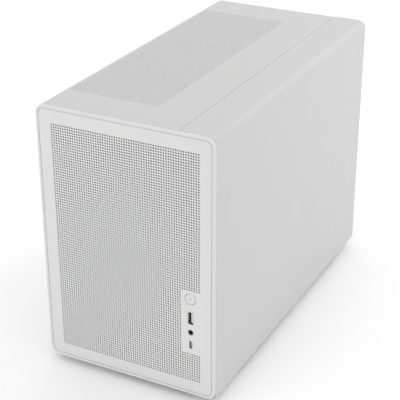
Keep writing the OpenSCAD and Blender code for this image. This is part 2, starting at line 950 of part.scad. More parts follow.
// Sockets on the board's rear edge: x and z from the window's corner, then width and height
socket_sizes = [
    for (i = [0:2]) [io_win[0] - 19, 12 + i * 22, 16, 16],
    for (i = [0:1]) [io_win[0] - 19, 82 + i * 26, 16, 20],
    for (i = [0:2]) [8, 16 + i * 16, 11, 12],
    [6, 84, 14, 40]];

module socket_boxes(y, grow) {
    for (p = socket_sizes)
        translate([io_win_x + p[0], 0, io_win_z + p[1]])
            box([-grow, p[2] + grow], y, [-grow, p[3] + grow]);
}

module rear_ports() {
    color(steel)
    socket_boxes([board_y[1] - 18, rear_out + 0.6], 0);
    color(black)
    box([io_win_x + 6, board_x], [board_y[1] - 20, board_y[1] - 18], [io_win_z + 10, io_win_z + 134]);
}

module io_shield() {
    color(steel)
    difference() {
        box([io_win_x - 1.5, io_win_x + io_win[0] + 1], [rear_in - 1, rear_in],
            [io_win_z - 2, io_win_z + io_win[1] + 2]);
        socket_boxes([rear_in - 2, rear_in + 1], 0.3);
    }
}

module memory_modules() {
    color(green)
    for (i = [0:1])
        box([board_x - 36, board_x - 8], [board_y[0] + 64 + 10 * i, board_y[0] + 65.2 + 10 * i],
            [board_z[1] - 142, board_z[1] - 9]);
}

// Base, heat pipes and a stack of fins
module cpu_cooler() {
    x0 = board_x - 6;
    color(steel) {
        box([x0 - 10, x0], [cpu[0] - 20, cpu[0] + 20], [cpu[1] - 20, cpu[1] + 20]);
        for (y = [-12, 0, 12])
            translate([0, cpu[0] + y, cpu[1]]) rod_x(fin_x[0] - 3, x0 - 8 - fin_x[0] + 3, 3);
        for (x = [fin_x[0]:5:fin_x[1]])
            box([x, x + 1], [cpu[0] - fin_d / 2, cpu[0] + fin_d / 2], [cpu[1] - 45, cpu[1] + 45]);
    }
}

cpu_fan_at = [(fin_x[0] + fin_x[1]) / 2, cpu[0] - fin_d / 2, cpu[1]];
cpu_fan_r = cpu_fan_s / 2 - 2;

module cpu_fan_frame() {
    color(black)
    translate(cpu_fan_at)
        rotate([90, 0, 0]) fan_frame(cpu_fan_s, fan_t, cpu_fan_r, 16);
}

module cpu_fan_rotor() {
    color(black)
    translate(cpu_fan_at)
        rotate([90, 0, 0]) fan_rotor(fan_t, cpu_fan_r, 16, 9, 52);
}

// ---- Graphics card ----

module graphics_card() {
    color(green)
    box([card_x - card_h, card_x], card_y, [card_z, card_z + pcb_t]);
    color(green)
    box([card_x, board_x - 2], [board_y[0] + 72, board_y[0] + 158], [card_z, card_z + pcb_t]);
    color(steel) {
        box([card_x - card_h - 4, card_x - 1], [rear_in - 3, rear_in - 2], [card_z - 34, card_z + 5]);
        box([card_x - card_h - 4, card_x - 1], [rear_in - 2, rear_in - 1], [card_z - 34, card_z + 5]);
    }
}

module card_cooler() {
    color(steel) {
        box([card_x - card_h + 3, card_x - 3], [card_y[0] + 6, card_y[1] - 14], [card_z - 5, card_z]);
        for (y = [card_y[0] + 8:6:card_y[1] - 18])
            box([card_x - card_h + 3, card_x - 3], [y, y + 1], [card_z - 16, card_z - 5]);
    }
}

// Shroud round two fans, each on a spider of its own
module card_shroud() {
    x = [card_x - card_h, card_x];
    y = [card_y[0] + 2, card_y[1] - 12];
    color(black) {
        difference() {
            box(x, y, [card_z - 38, card_z]);
            box([x[0] + 1.5, x[1] - 1.5], [y[0] + 1.5, y[1] - 1.5], [card_z - 36, card_z + eps]);
            for (fy = card_fan_y)
                translate([card_x - card_h / 2, fy, card_z - 39]) cylinder(h = 4, r = card_r + 1);
        }
        for (fy = card_fan_y)
            translate([card_x - card_h / 2, fy, card_z - 19]) {
                rotate(45) translate([0, 0, -3]) card_spider();
                translate([0, 0, -15]) cylinder(h = 12, r = shaft_dia / 2);
            }
    }
}

module card_spider() {
    cylinder(h = 3, r = 14);
    for (a = [45, 225])
        rotate(a)
            translate([-2, 0, 0]) cube([4, card_h / 2 - 1, 3]);
}

module card_rotor(i) {
    color(black)
    translate([card_x - card_h / 2, card_fan_y[i], card_z - 19])
        rotate([180, 0, 0])
            fan_rotor(20, card_r + 0.7, 14, 9, 56);
}

module card_rotor_1() card_rotor(0);

module card_rotor_2() card_rotor(1);

// Blanks behind the two free slots
module slot_covers() {
    color(white)
    for (i = [0, 1])
        box([slot_x0 - 4, slot_x0 + slot_win[0] + 4], [rear_in - 1, rear_in],
            [slot_z[i] - 9.2, slot_z[i] + 9.2]);
}

// ---- Fasteners and drive ----

// Pan head screw along +Z: the head stands on the origin, the shank runs down
module screw(r, l) {
    cylinder(h = 1.6, r = 2 * r);
    translate([0, 0, -l]) cylinder(h = l, r = r);
}

module screws() {
    color(steel) {
        board_screw_places()
            translate([board_x, 0, 0]) rotate([0, -90, 0]) screw(1.5, pcb_t);
        for (s = [-1, 1])
            translate([inlet[0], rear_out + 2.4, inlet[1] + s * 20])
                rotate([-90, 0, 0]) screw(1.5, 2.4);
    }
}

module drive() {
    color(steel)
    box([tray_x + sheet, tray_x + sheet + 7], [board_y[0] - 40, board_y[0] + 60],
        [board_z[1] - 150, board_z[1] - 80]);
}

front_frame();
front_panel();
front_studs();
front_filter();
power_button();
power_lens();
switch_plunger();
power_switch();
button_guide();
io_bracket();
io_board();
usb_a_shell();
usb_a_tongue();
headset_socket();
usb_c_shell();
usb_c_tongue();
top_panel();
top_studs();
top_filter();
left_side_panel();
left_studs();
right_side_panel();
right_studs();
panel_clips();
chassis_front();
chassis_base();
chassis_top();
rear_panel();
motherboard_tray();
feet();
foot_pads();
filter_rails();
bottom_filter();
psu_case();
psu_electronics();
psu_grille();
psu_rotor();
psu_rocker();
mains_inlet();
mains_lead();
motherboard();
board_parts();
rear_ports();
io_shield();
memory_modules();
cpu_cooler();
cpu_fan_frame();
cpu_fan_rotor();
graphics_card();
card_cooler();
card_shroud();
card_rotor_1();
card_rotor_2();
slot_covers();
fan_frames();
top_front_rotor();
top_rear_rotor();
rear_rotor();
screws();
drive();
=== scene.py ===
"""Looks for a white desktop computer tower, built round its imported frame. Pieces are made in millimetres."""

import math

import bmesh
import bpy
from mathutils import Matrix, Vector
from mathutils.geometry import tessellate_polygon


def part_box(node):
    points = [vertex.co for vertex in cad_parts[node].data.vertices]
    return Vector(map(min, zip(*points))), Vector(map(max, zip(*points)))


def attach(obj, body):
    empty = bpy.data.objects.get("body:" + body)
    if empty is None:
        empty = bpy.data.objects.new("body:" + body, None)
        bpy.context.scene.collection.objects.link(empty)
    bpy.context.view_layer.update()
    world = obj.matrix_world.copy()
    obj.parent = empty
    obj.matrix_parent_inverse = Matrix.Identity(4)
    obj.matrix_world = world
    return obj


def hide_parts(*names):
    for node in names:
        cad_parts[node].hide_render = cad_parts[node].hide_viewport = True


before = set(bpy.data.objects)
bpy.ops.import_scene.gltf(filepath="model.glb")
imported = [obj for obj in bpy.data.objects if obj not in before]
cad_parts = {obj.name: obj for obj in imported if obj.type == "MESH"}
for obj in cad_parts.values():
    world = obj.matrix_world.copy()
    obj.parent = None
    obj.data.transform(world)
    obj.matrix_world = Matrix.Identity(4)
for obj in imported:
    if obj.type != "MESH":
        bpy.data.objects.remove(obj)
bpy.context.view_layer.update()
scene = bpy.context.scene

# ---- Camera ----
# A long lens, above the tower and to its right, so that the front, the right side and the top show.

azimuth = math.radians(27.33)
elevation = math.radians(26.309)
roll = math.radians(-0.14)
towards = Vector((math.sin(azimuth) * math.cos(elevation), -math.cos(azimuth) * math.cos(elevation),
                  math.sin(elevation)))
level = (-towards).cross(Vector((0, 0, 1))).normalized()
upright = level.cross(-towards)
side = math.cos(roll) * level + math.sin(roll) * upright
up = math.cos(roll) * upright - math.sin(roll) * level
lens = bpy.data.cameras.new("camera")
lens.lens = 103.79
lens.clip_end = 20
camera = bpy.data.objects.new("camera", lens)
camera.matrix_world = Matrix((side, up, towards)).transposed().to_4x4()
camera.location = (0.54705, -1.0978, 0.73742)
scene.collection.objects.link(camera)
scene.camera = camera

# ---- Floor and light ----
# A pale matt floor under an even white sky, with wide soft lamps ahead of and over the tower, and a
# small one behind its right side for the rounded edge.

scene.view_settings.view_transform = "Standard"
sky = bpy.data.worlds.new("sky")
sky.use_nodes = True
sky.node_tree.nodes["Background"].inputs["Color"].default_value = (1, 1, 1, 1)
sky.node_tree.nodes["Background"].inputs["Strength"].default_value = 1.0
scene.world = sky


def soft_lamp(name, place, aim, size, power):
    """A square area lamp at place, turned towards aim."""
    lamp = bpy.data.lights.new(name, "AREA")
    lamp.size = size
    lamp.energy = power
    holder = bpy.data.objects.new(name, lamp)
    holder.location = place
    holder.rotation_euler = (Vector(aim) - Vector(place)).to_track_quat("-Z", "Y").to_euler()
    scene.collection.objects.link(holder)


soft_lamp("front_lamp", (-0.9, -2.2, 0.9), (0, -0.2, 0.12), 1.6, 5)
soft_lamp("top_lamp", (0.2, 0.3, 2.6), (0, 0, 0.3), 1.8, 2.4)
soft_lamp("edge_lamp", (1.1, 1.8, 1.25), (0.1, 0, 0.3), 0.8, 9)

floor_mesh = bpy.data.meshes.new("floor")
floor_mesh.from_pydata([(-6, -6, 0), (6, -6, 0), (6, 6, 0), (-6, 6, 0)], [], [(0, 1, 2, 3)])
floor_paint = bpy.data.materials.new("floor_paint")
floor_paint.use_nodes = True
floor_shader = floor_paint.node_tree.nodes["Principled BSDF"]
floor_shader.inputs["Base Color"].default_value = (0.97, 0.97, 0.97, 1)
floor_shader.inputs["Roughness"].default_value = 0.9
floor_mesh.materials.append(floor_paint)
floor = bpy.data.objects.new("floor", floor_mesh)
scene.collection.objects.link(floor)

# ---- Front frame ----
# Moulded frame of white ABS: the rim that shows, a stepped skirt that the metal skin covers, and a
# flange that the front panel's studs go through. It screws to the chassis front.


def new_group(name, inputs, outputs):
    """A shader node group with the given sockets: (name, type, value) in and (name, type) out."""
    tree = bpy.data.node_groups.new(name, "ShaderNodeTree")
    for label, kind, value in inputs:
        tree.interface.new_socket(label, in_out="INPUT", socket_type=kind).default_value = value
    for label, kind in outputs:
        tree.interface.new_socket(label, in_out="OUTPUT", socket_type=kind)
    return tree, tree.nodes.new("NodeGroupInput"), tree.nodes.new("NodeGroupOutput")


def add_node(tree, kind, settings=None, **inputs):
    """Adds a node; settings are its own properties and inputs are links or constants by socket name."""
    made = tree.nodes.new(kind)
    for key, value in (settings or {}).items():
        setattr(made, key, value)
    for key, value in inputs.items():
        index = int(key[2:]) if key.startswith("i_") else key.replace("_", " ")
        socket = made.inputs[index]
        if isinstance(value, bpy.types.NodeSocket):
            tree.links.new(value, socket)
        else:
            socket.default_value = value
    return made


def moulding_group():
    """Fine surface grain, slow change of tone, and smudges in scattered patches."""
    tree, given, out = new_group(
        "surface_detail",
        [("Grain Scale", "NodeSocketFloat", 2600), ("Drift Scale", "NodeSocketFloat", 9)],
        [("Height", "NodeSocketFloat"), ("Tone", "NodeSocketFloat"), ("Smudge", "NodeSocketFloat")])
    place = add_node(tree, "ShaderNodeTexCoord").outputs["Object"]
    grain = add_node(tree, "ShaderNodeTexNoise", Vector=place, Scale=given.outputs["Grain Scale"],
                     Detail=2.0, Roughness=0.6)
    drift = add_node(tree, "ShaderNodeTexNoise", Vector=place, Scale=given.outputs["Drift Scale"],
                     Detail=3.0)
    wide = add_node(tree, "ShaderNodeMath", {"operation": "MULTIPLY"}, i_0=given.outputs["Drift Scale"],
                    i_1=3.7)
    smear = add_node(tree, "ShaderNodeTexNoise", Vector=place, Scale=wide.outputs[0], Detail=5.0,
                     Distortion=0.6)
    patch = add_node(tree, "ShaderNodeMapRange", Value=smear.outputs["Fac"])
    patch.inputs["From Min"].default_value = 0.45
    patch.inputs["From Max"].default_value = 0.72
    tree.links.new(grain.outputs["Fac"], out.inputs["Height"])
    tree.links.new(drift.outputs["Fac"], out.inputs["Tone"])
    tree.links.new(patch.outputs["Result"], out.inputs["Smudge"])
    return tree


def dust_group():
    """A thin film of dust on faces that look up, broken by noise."""
    tree, given, out = new_group("dust_film", [("Amount", "NodeSocketFloat", 0.2)],
                                 [("Mask", "NodeSocketFloat")])
    normal = add_node(tree, "ShaderNodeNewGeometry").outputs["Normal"]
    height = add_node(tree, "ShaderNodeSeparateXYZ", Vector=normal).outputs["Z"]
    lying = add_node(tree, "ShaderNodeMapRange", Value=height)
    lying.inputs["From Min"].default_value = 0.5
    place = add_node(tree, "ShaderNodeTexCoord").outputs["Object"]
    flecks = add_node(tree, "ShaderNodeTexNoise", Vector=place, Scale=420.0, Detail=6.0, Roughness=0.75)
    broken = add_node(tree, "ShaderNodeMapRange", Value=flecks.outputs["Fac"])
    broken.inputs["From Min"].default_value = 0.42
    broken.inputs["From Max"].default_value = 0.75
    both = add_node(tree, "ShaderNodeMath", {"operation": "MULTIPLY"}, i_0=lying.outputs["Result"],
                    i_1=broken.outputs["Result"])
    film = add_node(tree, "ShaderNodeMath", {"operation": "MULTIPLY"}, i_0=both.outputs[0],
                    i_1=given.outputs["Amount"])
    tree.links.new(film.outputs[0], out.inputs["Mask"])
    return tree


surface_detail = moulding_group()
dust_film = dust_group()


def finish(name, colour, rough, grain=2600.0, bump=0.15, tone=0.05, dust=0.06, metal=0.0, coat=0.0,
           drift=9.0):
    """A material from a base colour with grain, drift of tone, smudges and dust."""
    material = bpy.data.materials.new(name)
    material.use_nodes = True
    tree = material.node_tree
    shader = tree.nodes["Principled BSDF"]
    shader.inputs["Metallic"].default_value = metal
    shader.inputs["Coat Weight"].default_value = coat
    detail = add_node(tree, "ShaderNodeGroup", {"node_tree": surface_detail}, Grain_Scale=grain,
                      Drift_Scale=drift)
    film = add_node(tree, "ShaderNodeGroup", {"node_tree": dust_film}, Amount=dust)
    shade = add_node(tree, "ShaderNodeMapRange", Value=detail.outputs["Tone"])
    shade.inputs["To Min"].default_value = 1 - tone
    shade.inputs["To Max"].default_value = 1 + tone
    base = add_node(tree, "ShaderNodeMix", {"data_type": "RGBA", "blend_type": "MULTIPLY"})
    base.inputs[0].default_value = 1
    base.inputs[6].default_value = (*colour, 1)
    tree.links.new(shade.outputs["Result"], base.inputs[7])
    dusty = add_node(tree, "ShaderNodeMix", {"data_type": "RGBA"})
    tree.links.new(film.outputs["Mask"], dusty.inputs[0])
    tree.links.new(base.outputs[2], dusty.inputs[6])
    dusty.inputs[7].default_value = (0.5, 0.49, 0.47, 1)
    tree.links.new(dusty.outputs[2], shader.inputs["Base Color"])
    gloss = add_node(tree, "ShaderNodeMapRange", Value=detail.outputs["Smudge"])
    gloss.inputs["To Min"].default_value = rough
    gloss.inputs["To Max"].default_value = min(rough + 0.09, 1)
    tree.links.new(gloss.outputs["Result"], shader.inputs["Roughness"])
    relief = add_node(tree, "ShaderNodeBump", Height=detail.outputs["Height"], Strength=bump,
                      Distance=0.0002)
    tree.links.new(relief.outputs["Normal"], shader.inputs["Normal"])
    return material


def corners(node):
    """A CAD node's lowest and highest corners in millimetres."""
    lo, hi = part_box(node)
    return lo * 1000, hi * 1000


def rounded(x, y, r=0.0, steps=6):
    """Outline of the rectangle over spans x and y with corner radius r, as a function of its inset d."""
    def outline(d):
        q = max(r - d, 0.01)
        points = []
        for cx, cy, start in ((x[1] - d - q, y[1] - d - q, 0), (x[0] + d + q, y[1] - d - q, 90),
                              (x[0] + d + q, y[0] + d + q, 180), (x[1] - d - q, y[0] + d + q, 270)):
            for k in range(steps + 1):
                a = math.radians(start + 90 * k / steps)
                points.append((cx + q * math.cos(a), cy + q * math.sin(a)))
        return points
    return outline


def disc(centre, r, steps=40):
    """Outline of a circle, as a function of its inset d."""
    def outline(d):
        turns = [2 * math.pi * k / steps for k in range(steps)]
        return [(centre[0] + (r - d) * math.cos(a), centre[1] + (r - d) * math.sin(a)) for a in turns]
    return outline


def bridge(bm, rings, close=False):
    """Joins rings of vertices with smooth faces, and the last to the first if close is set."""
    pairs = list(zip(rings, rings[1:])) + ([(rings[-1], rings[0])] if close else [])
    for a, b in pairs:
        for k in range(len(a)):
            n = (k + 1) % len(a)
            bm.faces.new((a[k], a[n], b[n], b[k])).smooth = True


def cap(bm, loops):
    """Fills the flat area between the first loop of vertices and the hole loops after it."""
    verts = [v for loop in loops for v in loop]
    for tri in tessellate_polygon([[v.co for v in loop] for loop in loops]):
        if len(set(tri)) == 3:
            bm.faces.new([verts[i] for i in tri]).smooth = False


def loft(bm, outline, levels, put, close=False, ends=True):
    """Rings of one outline at (inset, height) levels, placed by put(u, v, w) and joined."""
    rings = [[bm.verts.new(put(u, v, w)) for u, v in outline(d)] for d, w in levels]
    bridge(bm, rings, close)
    if ends and not close:
        cap(bm, [rings[0]])
        cap(bm, [rings[-1]])
    return rings


def edge_levels(low, high, r, side=1, steps=3):
    """Levels of a wall from low to high with both borders rounded to r; side is -1 round a hole."""
    if r <= 0:
        return [(0, low), (0, high)]
    arc = [math.pi / 2 * k / steps for k in range(steps + 1)]
    first = [(side * r * (1 - math.sin(a)), low + r * (1 - math.cos(a))) for a in arc]
    last = [(side * r * (1 - math.cos(a)), high - r * (1 - math.sin(a))) for a in arc]
    return first + last


def plate(bm, outlines, low, high, put, edge=0.3, plain=()):
    """A sheet from low to high: its outline, then its holes. Outlines numbered in plain stay sharp."""
    firsts, lasts = [], []
    for n, outline in enumerate(outlines):
        levels = edge_levels(low, high, 0 if n in plain else edge, -1 if n else 1)
        rings = loft(bm, outline, levels, put, ends=False)
        firsts.append(rings[0])
        lasts.append(rings[-1])
    cap(bm, firsts)
    cap(bm, lasts)


def facing_front(u, v, w):
    return (u, w, v)


def facing_up(u, v, w):
    return (u, v, w)


def facing_side(u, v, w):
    return (w, u, v)


def metre_mesh(name, bm):
    """Turns a bmesh in millimetres into a mesh in metres whose faces point outwards."""
    bmesh.ops.recalc_face_normals(bm, faces=bm.faces)
    bm.transform(Matrix.Scale(0.001, 4))
    mesh = bpy.data.meshes.new(name)
    bm.to_mesh(mesh)
    bm.free()
    return mesh


def piece(name, bm, material, body, *stands_for):
    """Turns a bmesh in millimetres into a finished object that rides on a body."""
    bmesh.ops.remove_doubles(bm, verts=bm.verts, dist=0.001)
    mesh = metre_mesh(name, bm)
    mesh.set_sharp_from_angle(angle=math.radians(38))
    mesh.materials.append(material)
    made = bpy.data.objects.new(name, mesh)
    scene.collection.objects.link(made)
    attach(made, body)
    if stands_for:
        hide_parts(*stands_for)
    return made


white_plastic = finish("white_moulding", (0.66, 0.66, 0.658), 0.42, grain=2400.0, bump=0.12, tone=0.012)
frame_lo, frame_hi = corners("front_frame")
skin_lo, skin_hi = corners("right_side_panel")
panel_lo, panel_hi = corners("front_panel")
edge_r = 10.0
front_y = frame_lo.y
rim_d = skin_lo.y - 0.4 - front_y
rim_w = frame_hi.x - panel_hi.x - 0.6
skirt_in = 1.6
flange = (front_y + 14, front_y + 16)
body_outline = rounded((frame_lo.x, frame_hi.x), (frame_lo.z, frame_hi.z), edge_r, 12)

bm = bmesh.new()
outer = [(0.9 * (1 - math.sin(a)), front_y + 0.9 * (1 - math.cos(a))) for a in
         [math.pi / 2 * k / 5 for k in range(6)]]
outer += [(0, front_y + rim_d - 0.3), (0.3, front_y + rim_d), (skirt_in, front_y + rim_d),
          (skirt_in, frame_hi.y - 0.4), (skirt_in + 0.4, frame_hi.y)]
inner = [(rim_w, frame_hi.y), (rim_w, flange[1]), (14, flange[1]), (14, flange[0]), (rim_w, flange[0]),
         (rim_w, front_y + 0.5), (rim_w - 0.15, front_y + 0.15), (rim_w - 0.5, front_y)]
loft(bm, body_outline, outer + inner, facing_front, close=True)
front_frame = piece("front_frame_moulding", bm, white_plastic, "chassis", "front_frame")


def islands(node):
    """The (lowest, highest) corners in millimetres of each separate solid in a CAD node."""
    bm = bmesh.new()
    bm.from_mesh(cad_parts[node].data)
    bmesh.ops.remove_doubles(bm, verts=bm.verts, dist=1e-6)
    left = set(bm.verts)
    found = []
    while left:
        stack = [left.pop()]
        group = list(stack)
        while stack:
            for e in stack.pop().link_edges:
                for v in e.verts:
                    if v in left:
                        left.remove(v)
                        stack.append(v)
                        group.append(v)
        lo = Vector([min(v.co[i] for v in group) for i in range(3)]) * 1000
        hi = Vector([max(v.co[i] for v in group) for i in range(3)]) * 1000
        found.append((lo, hi))
    bm.free()
    return sorted(found, key=lambda pair: [round(c, 2) for c in pair[0]])


def cut(target, bm):
    """Takes the solids of a bmesh in millimetres out of a finished piece."""
    cutter = bpy.data.objects.new("cutter", metre_mesh("cutter", bm))
    scene.collection.objects.link(cutter)
    step = target.modifiers.new("cut", "BOOLEAN")
    step.object = cutter
    step.solver = "EXACT"
    step.operation = "DIFFERENCE"
    bpy.context.view_layer.update()
    result = bpy.data.meshes.new_from_object(target.evaluated_get(bpy.context.evaluated_depsgraph_get()))
    target.modifiers.clear()
    result.name = target.name
    target.data = result
    bpy.data.objects.remove(cutter)


stud_hole_r = 3.4
bm = bmesh.new()
for lo, hi in islands("front_studs"):
    centre = ((lo.x + hi.x) / 2, (lo.z + hi.z) / 2)
    loft(bm, disc(centre, stud_hole_r, 24), [(0, flange[0] - 1), (0, flange[1] + 1)], facing_front)
cut(front_frame, bm)

# ---- Front panel ----
# One moulded sheet of the same ABS, snapped into the rim. Nearly all of it is a close grid of round
# holes; a solid strip at the lower right carries the button and the ports.


def new_tree(name, inputs):
    """A geometry node tree with the given inputs and one geometry output."""
    tree = bpy.data.node_groups.new(name, "GeometryNodeTree")
    for label, kind, value in inputs:
        socket = tree.interface.new_socket(label, in_out="INPUT", socket_type=kind)
        if value is not None:
            socket.default_value = value
    tree.interface.new_socket("Geometry", in_out="OUTPUT", socket_type="NodeSocketGeometry")
    return tree, tree.nodes.new("NodeGroupInput"), tree.nodes.new("NodeGroupOutput")


def end_tree(tree, given, out, geometry):
    """Realizes what the tree made, sets its material and sends it out."""
    real = add_node(tree, "GeometryNodeRealizeInstances", Geometry=geometry)
    done = add_node(tree, "GeometryNodeSetMaterial", Geometry=real.outputs[0],
                    Material=given.outputs["Material"])
    tree.links.new(done.outputs[0], out.inputs[0])


def perforation_tree():
    """A sheet of square cells with a round hole in each, less a notch, as one closed solid."""
    tree, given, out = new_tree("perforated_sheet", [
        ("Pitch X", "NodeSocketFloat", 0.003), ("Pitch Y", "NodeSocketFloat", 0.003),
        ("Columns", "NodeSocketInt", 10), ("Rows", "NodeSocketInt", 10),
        ("Hole", "NodeSocketFloat", 0.001), ("Sides", "NodeSocketInt", 12),
        ("Thickness", "NodeSocketFloat", 0.001), ("Notch X", "NodeSocketFloat", 10.0),
        ("Notch Low", "NodeSocketFloat", 0.0), ("Notch High", "NodeSocketFloat", 0.0),
        ("Material", "NodeSocketMaterial", None)])

    def math_node(kind, a, b):
        return add_node(tree, "ShaderNodeMath", {"operation": kind}, i_0=a, i_1=b).outputs[0]

    wide = math_node("MULTIPLY", math_node("SUBTRACT", given.outputs["Columns"], 1.0),
                     given.outputs["Pitch X"])
    tall = math_node("MULTIPLY", math_node("SUBTRACT", given.outputs["Rows"], 1.0),
                     given.outputs["Pitch Y"])
    grid = add_node(tree, "GeometryNodeMeshGrid", Size_X=wide, Size_Y=tall,
                    Vertices_X=given.outputs["Columns"], Vertices_Y=given.outputs["Rows"])
    place = add_node(tree, "ShaderNodeSeparateXYZ",
                     Vector=add_node(tree, "GeometryNodeInputPosition").outputs[0])
    beyond = math_node("GREATER_THAN", place.outputs["X"], given.outputs["Notch X"])
    above = math_node("GREATER_THAN", place.outputs["Y"], given.outputs["Notch Low"])
    below = math_node("LESS_THAN", place.outputs["Y"], given.outputs["Notch High"])
    notch = math_node("MULTIPLY", beyond, math_node("MULTIPLY", above, below))
    kept = add_node(tree, "GeometryNodeDeleteGeometry", {"domain": "POINT"}, Geometry=grid.outputs["Mesh"],
                    Selection=notch)
    cell = add_node(tree, "GeometryNodeCurvePrimitiveQuadrilateral", Width=given.outputs["Pitch X"],
                    Height=given.outputs["Pitch Y"])
    ring = add_node(tree, "GeometryNodeCurvePrimitiveCircle", Resolution=given.outputs["Sides"],
                    Radius=given.outputs["Hole"])
    both = tree.nodes.new("GeometryNodeJoinGeometry")
    tree.links.new(cell.outputs[0], both.inputs[0])
    tree.links.new(ring.outputs[0], both.inputs[0])
    tile = add_node(tree, "GeometryNodeFillCurve", Curve=both.outputs[0])
    tiles = add_node(tree, "GeometryNodeInstanceOnPoints", Points=kept.outputs[0], Instance=tile.outputs[0])
    sheet = add_node(tree, "GeometryNodeMergeByDistance",
                     Geometry=add_node(tree, "GeometryNodeRealizeInstances",
                                       Geometry=tiles.outputs[0]).outputs[0],
                     Distance=0.00002)
    raised = add_node(tree, "GeometryNodeExtrudeMesh", Mesh=sheet.outputs[0], Individual=False,
                      Offset_Scale=given.outputs["Thickness"])
    under = add_node(tree, "GeometryNodeFlipFaces", Mesh=sheet.outputs[0])
    solid = tree.nodes.new("GeometryNodeJoinGeometry")
    tree.links.new(raised.outputs["Mesh"], solid.inputs[0])
    tree.links.new(under.outputs[0], solid.inputs[0])
    closed = add_node(tree, "GeometryNodeMergeByDistance", Geometry=solid.outputs[0], Distance=0.00002)
    end_tree(tree, given, out, closed.outputs[0])
    return tree


def grown(name, tree, values, put, material, body, *stands_for, start=None):
    """Runs a geometry node tree and keeps its result as a plain mesh, moved by the matrix put."""
    holder = bpy.data.objects.new(name, start or bpy.data.meshes.new(name))
    scene.collection.objects.link(holder)
    step = holder.modifiers.new("grow", "NODES")
    step.node_group = tree
    for socket in tree.interface.items_tree:
        if socket.item_type == "SOCKET" and socket.in_out == "INPUT" and socket.name in values:
            step[socket.identifier] = values[socket.name]
        elif socket.item_type == "SOCKET" and socket.name == "Material":
            step[socket.identifier] = material
    bpy.context.view_layer.update()
    mesh = bpy.data.meshes.new_from_object(holder.evaluated_get(bpy.context.evaluated_depsgraph_get()))
    holder.modifiers.remove(step)
    mesh.transform(put)
    if put.determinant() < 0:
        mesh.flip_normals()
    mesh.name = name
    mesh.set_sharp_from_angle(angle=math.radians(38))
    holder.data = mesh
    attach(holder, body)
    if stands_for:
        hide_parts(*stands_for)
    return holder


perforated_sheet = perforation_tree()
hole_pitch = (2.76, 2.88)
hole_r = 0.97
columns, rows = 62, 92
panel_t = 2.0
field_left = panel_lo.x + 13.8
field_low = panel_lo.z + 13.4
field_x = (field_left, field_left + columns * hole_pitch[0])
field_z = (field_low, field_low + rows * hole_pitch[1])
port_lo, port_hi = corners("power_button")
port_x, button_z = (port_lo.x + port_hi.x) / 2, (port_lo.z + port_hi.z) / 2
notch_rows = (12, 38)
notch_x = field_x[0] + 54 * hole_pitch[0]
notch_z = tuple(field_z[0] + n * hole_pitch[1] for n in notch_rows)


def box_of(node):
    """Spans of a CAD node in X and Z, in millimetres."""
    lo, hi = corners(node)
    return (lo.x, hi.x), (lo.z, hi.z)


def grown_box(node, gap, r):
    """Outline of a CAD node's front view, gap wider all round, with corner radius r."""
    x, z = box_of(node)
    return rounded((x[0] - gap, x[1] + gap), (z[0] - gap, z[1] + gap), r, 8)


def field_outline(d):
    """The perforated field with its notch, which the solid border goes round."""
    return [(field_x[0], field_z[0]), (field_x[1], field_z[0]), (field_x[1], notch_z[0]),
            (notch_x, notch_z[0]),
            (notch_x, notch_z[1]), (field_x[1], notch_z[1]), (field_x[1], field_z[1]),
            (field_x[0], field_z[1])]


bm = bmesh.new()
panel_edge = rounded((panel_lo.x, panel_hi.x), (panel_lo.z, panel_hi.z), edge_r - rim_w - 0.6, 12)
button_r = (port_hi.x - port_lo.x) / 2
jack_lo, jack_hi = corners("headset_socket")
jack_z = (jack_lo.z + jack_hi.z) / 2
port_holes = [disc((port_x, button_z), button_r + 0.35, 56), grown_box("usb_a_shell", 0.25, 0.7),
              disc((port_x, jack_z), (jack_hi.x - jack_lo.x) / 2 + 0.15, 40),
              grown_box("usb_c_shell", 0.25, 1.84)]
plate(bm, [panel_edge, field_outline] + port_holes, front_y, front_y + panel_t, facing_front, 0.35,
      plain=(1,))
step_edge = rounded((panel_lo.x - 0.5, panel_hi.x + 0.5), (panel_lo.z - 0.5, panel_hi.z + 0.5),
                    edge_r - rim_w - 0.1, 12)
plate(bm, [step_edge, lambda d: panel_edge(0.05 - d)], front_y + 0.9, front_y + panel_t, facing_front, 0)
lip_edge = rounded((panel_lo.x + 0.02, panel_hi.x - 0.02), (panel_lo.z + 0.02, panel_hi.z - 0.02), 6, 12)
lip_in = rounded((panel_lo.x + 1.2, panel_hi.x - 1.2), (panel_lo.z + 1.2, panel_hi.z - 1.2), 5, 12)
plate(bm, [lip_edge, lip_in], front_y + panel_t, panel_hi.y, facing_front, 0)
piece("front_panel_border", bm, white_plastic, "front_cover", "front_panel")


def front_put(x, z, y):
    """Matrix that stands a flat sheet up to face the front, its middle at x and z, its face at y."""
    return Matrix(((1, 0, 0, x / 1000), (0, 0, -1, y / 1000), (0, 1, 0, z / 1000), (0, 0, 0, 1)))


band_rows = (31, 31, 30)
row = 0
for part, count in enumerate(band_rows):
    low = field_z[0] + row * hole_pitch[1]
    middle = low + count * hole_pitch[1] / 2
    grown(
        f"front_panel_mesh_{part + 1}", perforated_sheet,
        {"Pitch X": hole_pitch[0] / 1000, "Pitch Y": hole_pitch[1] / 1000, "Columns": columns,
         "Rows": count, "Hole": hole_r / 1000, "Thickness": panel_t / 1000,
         "Notch X": (notch_x - (field_x[0] + field_x[1]) / 2) / 1000,
         "Notch Low": (notch_z[0] - middle) / 1000, "Notch High": (notch_z[1] - middle) / 1000},
        front_put((field_x[0] + field_x[1]) / 2, middle, front_y + panel_t), white_plastic, "front_cover")
    row += count

# ---- Front filter ----
# Woven nylon mesh welded into a thin frame, held to the back of the front panel.


